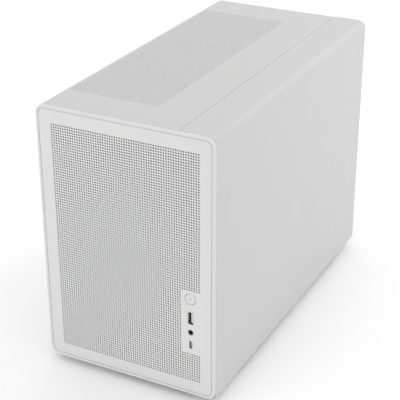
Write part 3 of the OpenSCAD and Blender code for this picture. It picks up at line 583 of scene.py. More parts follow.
def weave_group():
    """Crossing threads at a pitch: their height, and a mask of the threads over the gaps."""
    tree, given, out = new_group(
        "woven_mesh", [("Pitch", "NodeSocketFloat", 0.0008)],
        [("Height", "NodeSocketFloat"), ("Threads", "NodeSocketFloat")])
    place = add_node(tree, "ShaderNodeTexCoord").outputs["Object"]
    turns = add_node(tree, "ShaderNodeMath", {"operation": "DIVIDE"}, i_0=6.28318,
                     i_1=given.outputs["Pitch"])
    scaled = add_node(tree, "ShaderNodeVectorMath", {"operation": "SCALE"}, i_0=place,
                      Scale=turns.outputs[0])
    axes = add_node(tree, "ShaderNodeSeparateXYZ", Vector=scaled.outputs[0])
    waves = [add_node(tree, "ShaderNodeMath", {"operation": "COSINE"}, i_0=axes.outputs[n]).outputs[0]
             for n in range(3)]
    first = add_node(tree, "ShaderNodeMath", {"operation": "MAXIMUM"}, i_0=waves[0], i_1=waves[1])
    high = add_node(tree, "ShaderNodeMath", {"operation": "MAXIMUM"}, i_0=first.outputs[0], i_1=waves[2])
    mask = add_node(tree, "ShaderNodeMapRange", Value=high.outputs[0])
    mask.inputs["From Min"].default_value = 0.2
    mask.inputs["From Max"].default_value = 0.6
    tree.links.new(high.outputs[0], out.inputs["Height"])
    tree.links.new(mask.outputs["Result"], out.inputs["Threads"])
    return tree


woven_mesh = weave_group()


def woven(name, thread, gap, pitch=0.0008):
    """Woven cloth: thread colour over painted shade in the gaps, the dark seen through the open weave."""
    material = finish(name, thread, 0.75, grain=900.0, bump=0.1)
    tree = material.node_tree
    shader = tree.nodes["Principled BSDF"]
    net = add_node(tree, "ShaderNodeGroup", {"node_tree": woven_mesh}, Pitch=pitch)
    colour = add_node(tree, "ShaderNodeMix", {"data_type": "RGBA"})
    tree.links.new(net.outputs["Threads"], colour.inputs[0])
    # The gap colour is painted shade, standing for the dark seen through the openings between threads.
    colour.inputs[6].default_value = (*gap, 1)
    tree.links.new(shader.inputs["Base Color"].links[0].from_socket, colour.inputs[7])
    tree.links.new(colour.outputs[2], shader.inputs["Base Color"])
    relief = add_node(tree, "ShaderNodeBump", Height=net.outputs["Height"], Strength=0.5, Distance=0.0002)
    tree.links.new(relief.outputs["Normal"], shader.inputs["Normal"])
    return material


# The second colour is painted shade in the gaps of the weave.
filter_cloth = woven("filter_cloth", (0.045, 0.045, 0.046), (0.02, 0.02, 0.021))
filter_lo, filter_hi = corners("front_filter")
filter_notch = (port_x - 9, corners("usb_c_shell")[0].z - 4.4, button_z + 10)


def filter_outline(d):
    """The filter's outline, which steps round the port column."""
    x0, x1, z0, z1 = filter_lo.x + d, filter_hi.x - d, filter_lo.z + d, filter_hi.z - d
    nx, n0, n1 = filter_notch[0] - d, filter_notch[1] - d, filter_notch[2] + d
    return [(x0, z0), (x1, z0), (x1, n0), (nx, n0), (nx, n1), (x1, n1), (x1, z1), (x0, z1)]


bm = bmesh.new()
cloth_y = (filter_lo.y + filter_hi.y) / 2
plate(bm, [filter_outline, lambda d: filter_outline(3 - d)], filter_lo.y, filter_hi.y, facing_front, 0.2)
plate(bm, [lambda d: filter_outline(2.9 + d)], cloth_y - 0.15, cloth_y + 0.15, facing_front, 0)
piece("front_filter_cloth", bm, filter_cloth, "front_cover", "front_filter")

# ---- Panel studs ----
# White moulded studs with ball heads, on the backs of the four panels that pull off. Each ball snaps
# into a black nylon clip.


def lathe(bm, profile, put, steps=40):
    """Turns a profile of (radius, height) points round the axis that put stands on; radius 0 closes it."""
    rings = []
    for r, h in profile:
        if r < 1e-6:
            rings.append([bm.verts.new(put(0, 0, h))])
        else:
            rings.append([bm.verts.new(put(r * math.cos(2 * math.pi * k / steps),
                                           r * math.sin(2 * math.pi * k / steps), h))
                                           for k in range(steps)])
    for a, b in zip(rings, rings[1:]):
        for k in range(steps):
            n = (k + 1) % steps
            if len(a) == 1:
                bm.faces.new((a[0], b[n], b[k])).smooth = True
            elif len(b) == 1:
                bm.faces.new((a[k], a[n], b[0])).smooth = True
            else:
                bm.faces.new((a[k], a[n], b[n], b[k])).smooth = True


def stud_profile(length, ball):
    """A foot, a tapered neck and a ball with a flat at its tip."""
    neck = [(0, 0), (3.6, 0), (3.6, 0.9), (3.3, 1.2), (2.0, 1.5), (1.6, 2.2)]
    reach = math.asin(min(1.6 / ball, 1))
    turn = [math.pi - reach - k * (math.pi - reach - 0.35) / 7 for k in range(8)]
    tip = [(ball * math.sin(a), length + ball * math.cos(a)) for a in turn]
    return neck + tip + [(0, tip[-1][1])]


def stud_set(name, node, body, axis, way):
    """Replaces a CAD group of studs with turned ones that point along axis, way +1 or -1."""
    bm = bmesh.new()
    others = [n for n in range(3) if n != axis]
    for lo, hi in islands(node):
        foot = lo[axis] if way > 0 else hi[axis]
        centre = (lo + hi) / 2

        def put(u, v, w, centre=centre, foot=foot):
            at = [0, 0, 0]
            at[others[0]] = centre[others[0]] + u
            at[others[1]] = centre[others[1]] + v
            at[axis] = foot + way * w
            return at

        lathe(bm, stud_profile(hi[axis] - lo[axis] - ball_r, ball_r), put, 24)
    return piece(name, bm, white_plastic, body, node)


ball_r = 2.7
stud_set("front_stud_set", "front_studs", "front_cover", 1, 1)
stud_set("top_stud_set", "top_studs", "top_cover", 2, -1)
stud_set("left_stud_set", "left_studs", "left_cover", 0, 1)
stud_set("right_stud_set", "right_studs", "right_cover", 0, -1)

# ---- Power button ----
# Round cap of the same white ABS with a turned edge and a smoked lens at its middle. A stem slides in
# a black bush on the port bracket and works a push switch on the port board.

lens_lo, lens_hi = corners("power_lens")
lens_r = (lens_hi.x - lens_lo.x) / 2
button_y = (port_lo.y, port_hi.y)


def at_port(x, z):
    """Stands a turned shape on the port column, its axis along +Y."""
    return lambda u, v, w: (x + u, w, z + v)


bm = bmesh.new()
dome = [(lens_r, button_y[0] + lens_hi.y - lens_lo.y), (lens_r, button_y[0] + 0.12),
        (lens_r + 0.15, button_y[0] + 0.02),
        (button_r - 0.9, button_y[0]), (button_r - 0.45, button_y[0] + 0.08),
        (button_r - 0.15, button_y[0] + 0.28),
        (button_r, button_y[0] + 0.7), (button_r, button_y[0] + 4.6), (button_r - 0.4, button_y[0] + 5),
        (3, button_y[0] + 5), (3, button_y[1] - 0.3), (2.7, button_y[1]), (0, button_y[1])]
lathe(bm, [(0, dome[0][1])] + dome, at_port(port_x, button_z), 56)
piece("power_button_cap", bm, white_plastic, "button", "power_button")

smoked_lens = finish("smoked_lens", (0.22, 0.22, 0.225), 0.12, bump=0.02, coat=0.6)
bm = bmesh.new()
lathe(bm, [(0, lens_hi.y), (lens_r, lens_hi.y), (lens_r, lens_lo.y + 0.15),
           (lens_r * 0.8, lens_lo.y + 0.03), (0, lens_lo.y)], at_port(port_x, button_z), 32)
piece("power_button_lens", bm, smoked_lens, "button", "power_lens")

black_moulding = finish("black_moulding", (0.022, 0.022, 0.023), 0.48, grain=1800.0, bump=0.2, dust=0.05)
plunger_lo, plunger_hi = corners("switch_plunger")
bm = bmesh.new()
lathe(bm, [(0, plunger_lo.y), (1.0, plunger_lo.y), (1.2, plunger_lo.y + 0.2), (1.2, plunger_hi.y - 0.2),
           (1.0, plunger_hi.y), (0, plunger_hi.y)], at_port(port_x, button_z), 24)
piece("push_switch_plunger", bm, black_moulding, "button", "switch_plunger")

# ---- Front ports ----
# A type A socket, a headset socket and a type C socket stand upright on the port board: plated shells
# round a moulded and a plated tongue with gold contacts, and a black moulded barrel for the headset.

nickel = finish("plated_shell", (0.62, 0.61, 0.59), 0.24, grain=5000.0, bump=0.05, metal=1.0, tone=0.06)
gold = finish("gold_contacts", (0.83, 0.61, 0.26), 0.26, grain=3000.0, bump=0.05, metal=1.0)
tongue_plastic = finish("tongue_moulding", (0.72, 0.72, 0.71), 0.4, grain=1500.0, bump=0.1)
usb_lo, usb_hi = corners("usb_a_shell")


def tube_outlines(lo, hi, wall, r):
    """A tube's outer and inner outlines from a CAD box seen from the front."""
    outer = rounded((lo.x, hi.x), (lo.z, hi.z), r, 8)
    return outer, rounded((lo.x + wall, hi.x - wall), (lo.z + wall, hi.z - wall), max(r - wall, 0.2), 8)


def socket_shell(name, node, wall, r, back):
    """A drawn tube with rolled front lips and a closed back."""
    lo, hi = corners(node)
    outer, inner = tube_outlines(lo, hi, wall, r)
    bm = bmesh.new()
    levels = [(0, hi.y), (0, lo.y + 0.15), (0.1, lo.y)]
    rings = loft(bm, outer, levels, facing_front, ends=False)
    inside = loft(bm, inner, [(-0.1, lo.y), (0, lo.y + 0.2), (0, hi.y - back)], facing_front, ends=False)
    bridge(bm, [rings[-1], inside[0]])
    cap(bm, [rings[0]])
    cap(bm, [inside[-1]])
    return piece(name, bm, nickel, "chassis", node)


socket_shell("usb_a_socket_shell", "usb_a_shell", 0.35, 0.6, 0.8)
socket_shell("usb_c_socket_shell", "usb_c_shell", 0.35, 1.59, 0.6)

# A near-black block at the back of the type A socket, darker than the black moulding: painted shade for the
# deep end of the socket.
cavity_shade_black = finish("socket_cavity", (0.012, 0.012, 0.012), 0.6, grain=900.0, bump=0.1)
bm = bmesh.new()
plate(bm, [rounded((usb_lo.x + 0.4, usb_hi.x - 0.4), (usb_lo.z + 0.8, usb_hi.z - 0.8), 0.3)],
      usb_hi.y - 3, usb_hi.y - 0.85, facing_front, 0.1)
piece("usb_a_cavity", bm, cavity_shade_black, "chassis")

tongue_lo, tongue_hi = corners("usb_a_tongue")
bm = bmesh.new()
plate(bm, [rounded((tongue_lo.x, tongue_hi.x), (tongue_lo.z, tongue_hi.z), 0.25)], tongue_lo.y, tongue_hi.y,
      facing_front, 0.25)
piece("usb_a_tongue_block", bm, tongue_plastic, "chassis", "usb_a_tongue")
bm = bmesh.new()
for n in range(4):
    z = tongue_lo.z + (n + 0.7) * (tongue_hi.z - tongue_lo.z) / 4.4
    plate(bm, [rounded((tongue_lo.y + 0.8, tongue_hi.y - 0.6), (z - 0.5, z + 0.5), 0.2)],
          tongue_lo.x - 0.18, tongue_lo.x + 0.1, facing_side, 0.08)
piece("usb_a_contacts", bm, gold, "chassis")

c_lo, c_hi = corners("usb_c_tongue")
bm = bmesh.new()
plate(bm, [rounded((c_lo.x, c_hi.x), (c_lo.z, c_hi.z), 0.3)], c_lo.y, c_hi.y, facing_front, 0.12)
piece("usb_c_tongue_block", bm, nickel, "chassis", "usb_c_tongue")
bm = bmesh.new()
for way in (-1, 1):
    for n in range(6):
        z = c_lo.z + 0.9 + n * (c_hi.z - c_lo.z - 1.8) / 5
        x = c_lo.x if way < 0 else c_hi.x
        plate(bm, [rounded((c_lo.y + 0.4, c_hi.y - 3), (z - 0.16, z + 0.16), 0.05)], x - 0.05, x + 0.05,
              facing_side, 0)
piece("usb_c_contacts", bm, gold, "chassis")

bm = bmesh.new()
collar = (jack_hi.x - jack_lo.x) / 2
bore = 1.8
barrel = [(0, jack_lo.y + 14), (bore, jack_lo.y + 14), (bore, jack_lo.y + 0.5), (bore + 0.45, jack_lo.y),
          (collar - 0.2, jack_lo.y), (collar, jack_lo.y + 0.2), (collar, jack_lo.y + 5),
          (collar, jack_lo.y + 15), (0, jack_lo.y + 15)]
lathe(bm, barrel, at_port(port_x, jack_z), 48)
piece("headset_socket_barrel", bm, black_moulding, "chassis", "headset_socket")
bm = bmesh.new()
body_x = (port_x - 3, port_x + 3)
plate(bm, [rounded(body_x, (jack_z - 3.5, jack_z + 3.5), 0.6), disc((port_x, jack_z), collar + 0.01, 48)],
      jack_lo.y + 5, jack_hi.y, facing_front, 0.3, plain=(1,))
piece("headset_socket_body", bm, black_moulding, "chassis")

# ---- Side panels ----
# Steel sheet, 1 mm, folded on a press and coated with fine white powder. The right one bends over the
# top edge and ends at the seam; the left one is flat with a folded edge front and rear.

powder_coat = finish("white_powder_coat", (0.565, 0.565, 0.564), 0.5, grain=1500.0, bump=0.22, tone=0.01,
                     dust=0.08)
sheet = 1.0
top_z = skin_hi.z
half_w = skin_hi.x
seam = corners("top_panel")[1].x


def bent_line(points, bend, steps=10):
    """A line through corner points (u, v) with each inner corner turned to radius bend."""
    line = [Vector(points[0])]
    for a, b, c in zip(points, points[1:], points[2:]):
        a, b, c = Vector(a), Vector(b), Vector(c)
        start = b + (a - b).normalized() * bend
        end = b + (c - b).normalized() * bend
        centre = start + end - b
        for k in range(steps + 1):
            t = math.pi / 2 * k / steps
            line.append(centre + (start - centre) * math.cos(t) + (end - centre) * math.sin(t))
    return line + [Vector(points[-1])]


def sheet_outline(line, thick):
    """Outline of a sheet whose outer face follows a line, the metal on the line's right, for an inset d."""
    def outline(d):
        outer, inner = [], []
        for k, p in enumerate(line):
            before, after = line[max(k - 1, 0)], line[min(k + 1, len(line) - 1)]
            along = (after - before).normalized()
            right = Vector((along.y, -along.x))
            shift = along * (d if k == 0 else -d if k == len(line) - 1 else 0)
            outer.append(p + right * d + shift)
            inner.append(p + right * (thick - d) + shift)
        return [tuple(p) for p in outer + inner[::-1]]
    return outline


def slab(bm, lo, hi, edge=0.25, r=0.0):
    """A box with rounded long edges, from its lowest to its highest corner."""
    plate(bm, [rounded((lo[0], hi[0]), (lo[1], hi[1]), max(r, edge * 1.1), 3)], lo[2], hi[2],
          facing_up, edge)


right_line = bent_line([(half_w, skin_lo.z), (half_w, top_z), (seam + 0.5, top_z)], edge_r, 14)
left_lo, left_hi = corners("left_side_panel")
bm = bmesh.new()
skin_levels = edge_levels(skin_lo.y, skin_hi.y, 0.3)
flipped = sheet_outline([Vector((p.x, p.y)) for p in right_line][::-1], sheet)
loft(bm, flipped, skin_levels, facing_front)
for y in (skin_lo.y + 20, skin_hi.y - sheet):
    slab(bm, (half_w - sheet - 4.4, y, skin_lo.z + 8),
         (half_w - sheet, y + sheet, top_z - edge_r - 14), 0.2)
slab(bm, (half_w - 9, skin_lo.y + 22, skin_lo.z), (half_w - sheet, skin_hi.y - 4, skin_lo.z + sheet), 0.2)
piece("right_side_sheet", bm, powder_coat, "right_cover", "right_side_panel")

bm = bmesh.new()
plate(bm, [rounded((left_lo.y, left_hi.y), (left_lo.z, left_hi.z), 0.5)], left_lo.x, left_lo.x + sheet,
      facing_side, 0.3)
for y in (left_lo.y + 20, left_hi.y - sheet):
    slab(bm, (left_lo.x + sheet, y, left_lo.z + 8),
         (left_lo.x + sheet + 4.4, y + sheet, left_hi.z - 14), 0.2)
slab(bm, (left_lo.x + sheet, left_lo.y + 22, left_lo.z),
     (left_lo.x + 9, left_hi.y - 4, left_lo.z + sheet), 0.2)
piece("left_side_sheet", bm, powder_coat, "left_cover", "left_side_panel")

# ---- Top panel ----
# The same coated sheet. Its left edge is folded down the side, the right one meets the seam, and a
# punched field of round holes lies over the two roof fans.

top_lo, top_hi = corners("top_panel")
fold_x = -half_w + edge_r
top_pitch = 2.8
top_columns, top_rows = 38, 112
field_left, field_front = fold_x + 0.5, front_y + 49
top_field = ((field_left, field_left + top_columns * top_pitch),
             (field_front, field_front + top_rows * top_pitch))


def top_outline(d):
    """The flat part of the top panel, whose left edge runs on into the fold."""
    return [(fold_x, top_lo.y + d), (seam - d, top_lo.y + d), (seam - d, top_hi.y - d),
            (fold_x, top_hi.y - d)]


bm = bmesh.new()
plate(bm, [top_outline, rounded(*top_field, 0.0, 1)], top_z - sheet, top_z, facing_up, 0.3, plain=(1,))
fold = bent_line([(fold_x - 0.01, top_z), (-half_w, top_z), (-half_w, top_lo.z)], edge_r, 14)[1:]
loft(bm, sheet_outline(fold[::-1], sheet), edge_levels(top_lo.y, top_hi.y, 0.3), facing_front)
for y in (top_lo.y + 20, top_hi.y - sheet):
    slab(bm, (fold_x + 2, y, top_z - sheet - 3), (seam - 2, y + sheet, top_z - sheet), 0.2)
piece("top_sheet", bm, powder_coat, "top_cover", "top_panel")

row = 0
for part, count in enumerate((56, 56)):
    middle = field_front + (row + count / 2) * top_pitch
    put = Matrix.Translation((sum(top_field[0]) / 2000, middle / 1000, (top_z - sheet) / 1000))
    grown(f"top_mesh_{part + 1}", perforated_sheet,
          {"Pitch X": top_pitch / 1000, "Pitch Y": top_pitch / 1000, "Columns": top_columns, "Rows": count,
           "Hole": 0.00066, "Thickness": sheet / 1000}, put, powder_coat, "top_cover")
    row += count

# The second colour is painted shade in the gaps of the weave, under pale threads.
light_cloth = woven("light_filter_cloth", (0.62, 0.62, 0.62), (0.42, 0.42, 0.42))
cloth_lo, cloth_hi = corners("top_filter")
bm = bmesh.new()
frame_line = rounded((cloth_lo.x, cloth_hi.x), (cloth_lo.y, cloth_hi.y), 2)
plate(bm, [frame_line, lambda d: frame_line(3 - d)], cloth_lo.z, cloth_hi.z, facing_up, 0.2)
plate(bm, [lambda d: frame_line(2.9 + d)], cloth_lo.z + 0.6, cloth_lo.z + 0.9, facing_up, 0)
piece("top_filter_cloth", bm, light_cloth, "top_cover", "top_filter")

# ---- Panel clips ----
# Black nylon cups pressed into the chassis, each with a flange round its mouth. They are plain turned
# cups, without the slits that let a real one spread.

clip_r = ball_r + 0.3
bm = bmesh.new()
clip_boxes = islands("panel_clips")
for lo, hi in clip_boxes:
    size = hi - lo
    axis = min(range(3), key=lambda n: abs(size[n] - 7) if abs(size[n] - 9.2) > 0.5 else 99)
    centre = (lo + hi) / 2
    way = {0: 1 if centre.x > 0 else -1, 1: -1, 2: 1}[axis]
    mouth = hi[axis] if way > 0 else lo[axis]
    others = [n for n in range(3) if n != axis]
    depth = size[axis]

    def put(u, v, w, centre=centre, axis=axis, others=others, mouth=mouth, way=way):
        at = [0, 0, 0]
        at[others[0]] = centre[others[0]] + u
        at[others[1]] = centre[others[1]] + v
        at[axis] = mouth - way * w
        return at

    rim = size[others[0]] / 2
    lathe(bm, [(0, depth - 1), (clip_r, depth - 1), (clip_r, 0.5), (clip_r + 0.4, 0), (rim - 0.2, 0),
               (rim, 0.2), (rim, 1.4), (rim - 0.5, 1.7), (rim - 0.5, depth - 0.5), (rim - 1, depth),
               (0, depth)], put, 24)
piece("panel_clip_set", bm, black_moulding, "chassis", "panel_clips")

# ---- Chassis sheets ----
# Front plate, floor, roof and motherboard tray: 1 mm steel in a rougher white powder coat, riveted along
# both sides. Their windows and edges are the design's own; only the coat and the rivets are added.


def paint(material, *names):
    """Gives CAD nodes that keep their own shape a material."""
    for name in names:
        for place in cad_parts[name].material_slots:
            place.material = material


inner_coat = finish("inner_powder_coat", (0.64, 0.64, 0.638), 0.55, grain=1300.0, bump=0.25, tone=0.02,
                    dust=0.14)
paint(inner_coat, "chassis_front", "chassis_base", "chassis_top", "motherboard_tray")


def copies_tree():
    """One part copied to every point of the mesh given, turned by one rotation."""
    tree, given, out = new_tree("part_on_points", [
        ("Points", "NodeSocketGeometry", None), ("Part", "NodeSocketObject", None),
        ("Turn", "NodeSocketVector", (0.0, 0.0, 0.0)), ("Material", "NodeSocketMaterial", None)])
    part = add_node(tree, "GeometryNodeObjectInfo", Object=given.outputs["Part"])
    placed = add_node(tree, "GeometryNodeInstanceOnPoints", Points=given.outputs["Points"],
                      Instance=part.outputs["Geometry"], Rotation=given.outputs["Turn"])
    end_tree(tree, given, out, placed.outputs[0])
    return tree


part_on_points = copies_tree()


def shape(bm):
    """A helper object in metres, for a node tree to copy; it isn't a piece."""
    bmesh.ops.remove_doubles(bm, verts=bm.verts, dist=0.001)
    made = bpy.data.objects.new("shape", metre_mesh("shape", bm))
    scene.collection.objects.link(made)
    return made


def spread(name, part, points, turn, material, body, *stands_for):
    """Copies a helper object to points in millimetres and keeps the result as one piece."""
    start = bpy.data.meshes.new(name)
    start.from_pydata([Vector(p) / 1000 for p in points], [], [])
    made = grown(name, part_on_points, {"Part": part, "Turn": turn}, Matrix.Identity(4), material, body,
                 *stands_for, start=start)
    bpy.data.objects.remove(part)
    return made


chassis_hi = corners("chassis_top")[1]
steel_rivet = finish("rivet_steel", (0.55, 0.55, 0.55), 0.4, metal=1.0)
base_hi = corners("chassis_base")[1]


def rivet_shape():
    """A flat round rivet head."""
    bm = bmesh.new()
    lathe(bm, [(0, -0.3), (2.0, -0.3), (2.1, 0.1), (1.7, 0.5), (0.9, 0.7), (0, 0.7)], facing_up, 16)
    return shape(bm)


edge_x = chassis_hi.x - 5
spread("floor_rivets", rivet_shape(),
       [(s * edge_x, y, base_hi.z) for s in (-1, 1) for y in (-160, -70, 20, 110, 180)],
       (0, 0, 0), steel_rivet, "chassis")
spread("roof_rivets", rivet_shape(),
       [(s * edge_x, y, chassis_hi.z) for s in (-1, 1) for y in (-150, -60, 30, 120, 175)],
       (0, 0, 0), steel_rivet, "chassis")

# ---- Rear panel ----
# Coated steel sheet with windows for the board's sockets, the card slots and the mains inlet, a punched
# field for the rear fan, and flanges forward along both sides.

rear_lo, rear_hi = corners("rear_panel")
rear_in, rear_out = rear_hi.y - sheet, rear_hi.y
shield_lo, shield_hi = corners("io_shield")
io_window = ((shield_lo.x + 1.5, shield_hi.x - 1), (shield_lo.z + 2, shield_hi.z - 2))
blanks = islands("slot_covers")
slot_z = [(lo.z + hi.z) / 2 for lo, hi in sorted(blanks, key=lambda pair: pair[0].z)]
slot_z += [slot_z[0] + 2 * (slot_z[1] - slot_z[0]), slot_z[0] + 3 * (slot_z[1] - slot_z[0])]
slot_x = (blanks[0][0].x + 4, blanks[0][1].x - 4)
rotor_lo, rotor_hi = corners("rear_rotor")
fan_x, rear_fan_z = (rotor_lo.x + rotor_hi.x) / 2, (rotor_lo.z + rotor_hi.z) / 2
inlet_lo, inlet_hi = corners("mains_inlet")
inlet_x, inlet_z = (inlet_lo.x + inlet_hi.x) / 2, (inlet_lo.z + inlet_hi.z) / 2
vent_pitch, vent_cells = 5.6, 20
vent_half = vent_pitch * vent_cells / 2
vent_x, vent_z = (fan_x - vent_half, fan_x + vent_half), (rear_fan_z - vent_half, rear_fan_z + vent_half)

bm = bmesh.new()
windows = [rounded(io_window[0], io_window[1], 0.6)]
windows += [rounded(slot_x, (z - 7, z + 7), 0.6) for z in slot_z]
windows += [rounded((inlet_x - 11, inlet_x + 11), (inlet_z - 15, inlet_z + 15), 1)]
windows += [disc((slot_x[0] - 12, z), 2.2, 20) for z in slot_z]
vent_slots = [rounded((-60 + 10 * n, -54 + 10 * n), (rear_hi.z - 22, rear_hi.z - 10), 2.9)
              for n in range(13)]
vent_outline = rounded(vent_x, vent_z, 0.0, 1)
edge_box = rounded((rear_lo.x, rear_hi.x), (rear_lo.z, rear_hi.z), 1)
plate(bm, [edge_box, vent_outline] + windows + vent_slots, rear_in, rear_out, facing_front, 0.2, plain=(1,))
stud_places = [((lo.y + hi.y) / 2, (lo.z + hi.z) / 2) for lo, hi in islands("right_studs")]
for s in (-1, 1):
    x = sorted((s * rear_hi.x, s * (rear_hi.x - sheet)))
    holes = [disc(p, stud_hole_r, 24) for p in stud_places if p[0] > 0]
    plate(bm, [rounded((rear_lo.y, rear_in), (rear_lo.z, rear_hi.z - sheet), 0.5)] + holes, x[0], x[1],
          facing_side, 0.15)
piece("rear_sheet", bm, powder_coat, "chassis", "rear_panel")
rear_put = Matrix(((-1, 0, 0, fan_x / 1000), (0, 0, 1, rear_in / 1000), (0, 1, 0, rear_fan_z / 1000),
                   (0, 0, 0, 1)))
grown("rear_fan_vent", perforated_sheet,
      {"Pitch X": vent_pitch / 1000, "Pitch Y": vent_pitch / 1000, "Columns": vent_cells,
       "Rows": vent_cells,
       "Hole": 0.0023, "Sides": 16, "Thickness": sheet / 1000}, rear_put, powder_coat, "chassis")

# ---- Slot covers ----
# Two coated steel blanks screwed behind the free slots, each punched with a row of small vents.

bm = bmesh.new()
for lo, hi in blanks:
    z = (lo.z + hi.z) / 2
    vents = [rounded((lo.x + 14 + 9 * n, lo.x + 20 + 9 * n), (z - 3, z + 3), 2.9) for n in range(9)]
    plate(bm, [rounded((lo.x, hi.x), (lo.z, hi.z), 1.5)] + vents, lo.y, hi.y, facing_front, 0.25)
piece("slot_blank_set", bm, powder_coat, "chassis", "slot_covers")

# ---- I/O shield and rear sockets ----
# Thin steel plate in a dark coat that springs into the window, with the plated shells of the board's
# sockets standing through it.

ports = islands("rear_ports")
port_shells = [pair for pair in ports if pair[1].y > rear_in]
bm = bmesh.new()
cuts = [rounded((lo.x - 0.3, hi.x + 0.3), (lo.z - 0.3, hi.z + 0.3), 0.4) for lo, hi in port_shells]
plate(bm, [rounded((shield_lo.x, shield_hi.x), (shield_lo.z, shield_hi.z), 1)] + cuts, shield_lo.y,
      shield_hi.y, facing_front, 0.15)
dark_shield = finish("shield_steel", (0.09, 0.09, 0.092), 0.36, grain=900.0, bump=0.1, tone=0.06)
piece("io_shield_plate", bm, dark_shield, "chassis", "io_shield")

bm = bmesh.new()
blocks = bmesh.new()
for lo, hi in port_shells:
    wall = 0.6
    outer = rounded((lo.x, hi.x), (lo.z, hi.z), 0.8)
    inner = rounded((lo.x + wall, hi.x - wall), (lo.z + wall, hi.z - wall), 0.5)
    out_rings = loft(bm, outer, [(0, lo.y), (0, hi.y - 0.2), (0.15, hi.y)], facing_front, ends=False)
    in_rings = loft(bm, inner, [(-0.1, hi.y), (0, hi.y - 0.3), (0, hi.y - 14)], facing_front, ends=False)
    bridge(bm, [out_rings[-1], in_rings[0]])
    cap(bm, [out_rings[0]])
    cap(bm, [in_rings[-1]])
    wide, tall = hi.x - lo.x, hi.z - lo.z
    if tall > wide * 1.6:
        rows = [(lo.z + 4 + n * (tall - 8) / 7) for n in range(8)]
        for z in rows:
            slab(blocks, (lo.x + 2.4, hi.y - 12, z - 1.2), (hi.x - 2.4, hi.y - 2, z + 1.2), 0.2)
    elif wide > 12.5:
        slab(blocks, (lo.x + wide * 0.42, hi.y - 12, lo.z + 2),
             (lo.x + wide * 0.58, hi.y - 1.5, hi.z - 2), 0.3)
        slab(blocks, (lo.x + 1.2, hi.y - 12, lo.z + 1.2), (lo.x + 2.8, hi.y - 2.5, hi.z - 1.2), 0.3)
    else:
        centre = ((lo.x + hi.x) / 2, (lo.z + hi.z) / 2)
        rings = [disc(centre, min(wide, tall) / 2 - 0.9, 32), disc(centre, 1.8, 32)]
        plate(blocks, rings, hi.y - 12, hi.y - 0.4, facing_front, 0.3)
piece("rear_socket_shells", bm, nickel, "chassis", "rear_ports")
piece("rear_socket_blocks", blocks, black_moulding, "chassis")

# ---- Mains inlet ----
# Black moulded three-pole inlet, screwed to the rear panel, with a deep recess round its plated pins.

bm = bmesh.new()
recess = rounded((inlet_x - 8.25, inlet_x + 8.25), (inlet_z - 12, inlet_z + 12), 2.2)
ears = [disc((inlet_x, inlet_z + s * 20), 1.8, 20) for s in (-1, 1)]
plate(bm, [rounded((inlet_x - 12.5, inlet_x + 12.5), (inlet_z - 25, inlet_z + 25), 5), recess] + ears,
      rear_out, inlet_hi.y, facing_front, 0.5)
plate(bm, [rounded((inlet_x - 10.6, inlet_x + 10.6), (inlet_z - 14.6, inlet_z + 14.6), 2), recess],
      rear_out - 18, rear_out, facing_front, 0.2)
slab(bm, (inlet_x - 10.6, rear_out - 24, inlet_z - 14.6),
     (inlet_x + 10.6, rear_out - 18, inlet_z + 14.6), 0.4)
piece("mains_inlet_body", bm, black_moulding, "chassis", "mains_inlet")
bm = bmesh.new()
for x, z, reach in ((inlet_x - 1.5, inlet_z - 7, 3), (inlet_x - 1.5, inlet_z + 7, 3),
                    (inlet_x + 2.5, inlet_z, 2)):
    slab(bm, (x - 2, rear_out - 18, z - 1), (x + 2, rear_out - reach, z + 1), 0.5)
piece("mains_inlet_pins", bm, nickel, "chassis")

# ---- Screws ----
# Plated pan-head screws with a dimple in the head, through the board's corners and the inlet's ears.


def screw_shape(r, length):
    """A pan head with a dimple, standing on the origin along +Z, and its shank below."""
    bm = bmesh.new()
    lathe(bm, [(0, -length), (r * 0.8, -length), (r, -length + 0.4), (r, 0), (2 * r, 0), (2 * r, 0.6),
               (1.8 * r, 1.2), (1.2 * r, 1.55), (0.9 * r, 1.6), (0.3 * r, 0.9), (0, 0.8)], facing_up, 20)
    return shape(bm)


screw_steel = finish("screw_steel", (0.6, 0.6, 0.59), 0.28, metal=1.0, tone=0.08)
screw_boxes = islands("screws")
board_screws = [((lo.x if hi.x - lo.x < 5 else 0) + 1.6, (lo.y + hi.y) / 2, (lo.z + hi.z) / 2)
                for lo, hi in screw_boxes if hi.y < rear_out]
inlet_screws = [((lo.x + hi.x) / 2, inlet_hi.y, (lo.z + hi.z) / 2) for lo, hi in screw_boxes
                if hi.y > rear_out]
spread("board_screws", screw_shape(1.5, 1.6), board_screws, (0, -math.pi / 2, 0), screw_steel, "chassis",
       "screws")
spread("inlet_screws", screw_shape(1.5, 2.4), inlet_screws, (-math.pi / 2, 0, 0), screw_steel, "chassis")
slot_screws = [(slot_x[0] - 12, rear_out, z) for z in slot_z]
spread("slot_screws", screw_shape(1.6, 3), slot_screws, (-math.pi / 2, 0, 0), screw_steel, "chassis")

# ---- Feet ----
# Four moulded runners fixed under the floor, each with a rubber pad under its sole.

rubber = finish("foot_rubber", (0.03, 0.03, 0.03), 0.8, grain=1200.0, bump=0.35)
bm = bmesh.new()
for lo, hi in islands("feet"):
    foot = rounded((lo.x, hi.x), (lo.y, hi.y), min(hi.x - lo.x, hi.y - lo.y) / 2 - 0.01, 10)
    loft(bm, foot, [(0.9, lo.z), (0.5, lo.z + 0.15), (0.2, lo.z + 0.6), (0, lo.z + 1.4), (0, hi.z)],
         facing_up)
piece("foot_runners", bm, white_plastic, "chassis", "feet")
bm = bmesh.new()
for lo, hi in islands("foot_pads"):
    pad = rounded((lo.x, hi.x), (lo.y, hi.y), min(hi.x - lo.x, hi.y - lo.y) / 2 - 0.01, 10)
    plate(bm, [pad], lo.z, hi.z, facing_up, 0.35)
piece("foot_rubber_pads", bm, rubber, "chassis", "foot_pads")

# ---- Bottom filter ----
# Moulded tray in two rails under the floor. It pulls out to the rear by a tab, and nylon cloth fills
# the five windows between its ribs.

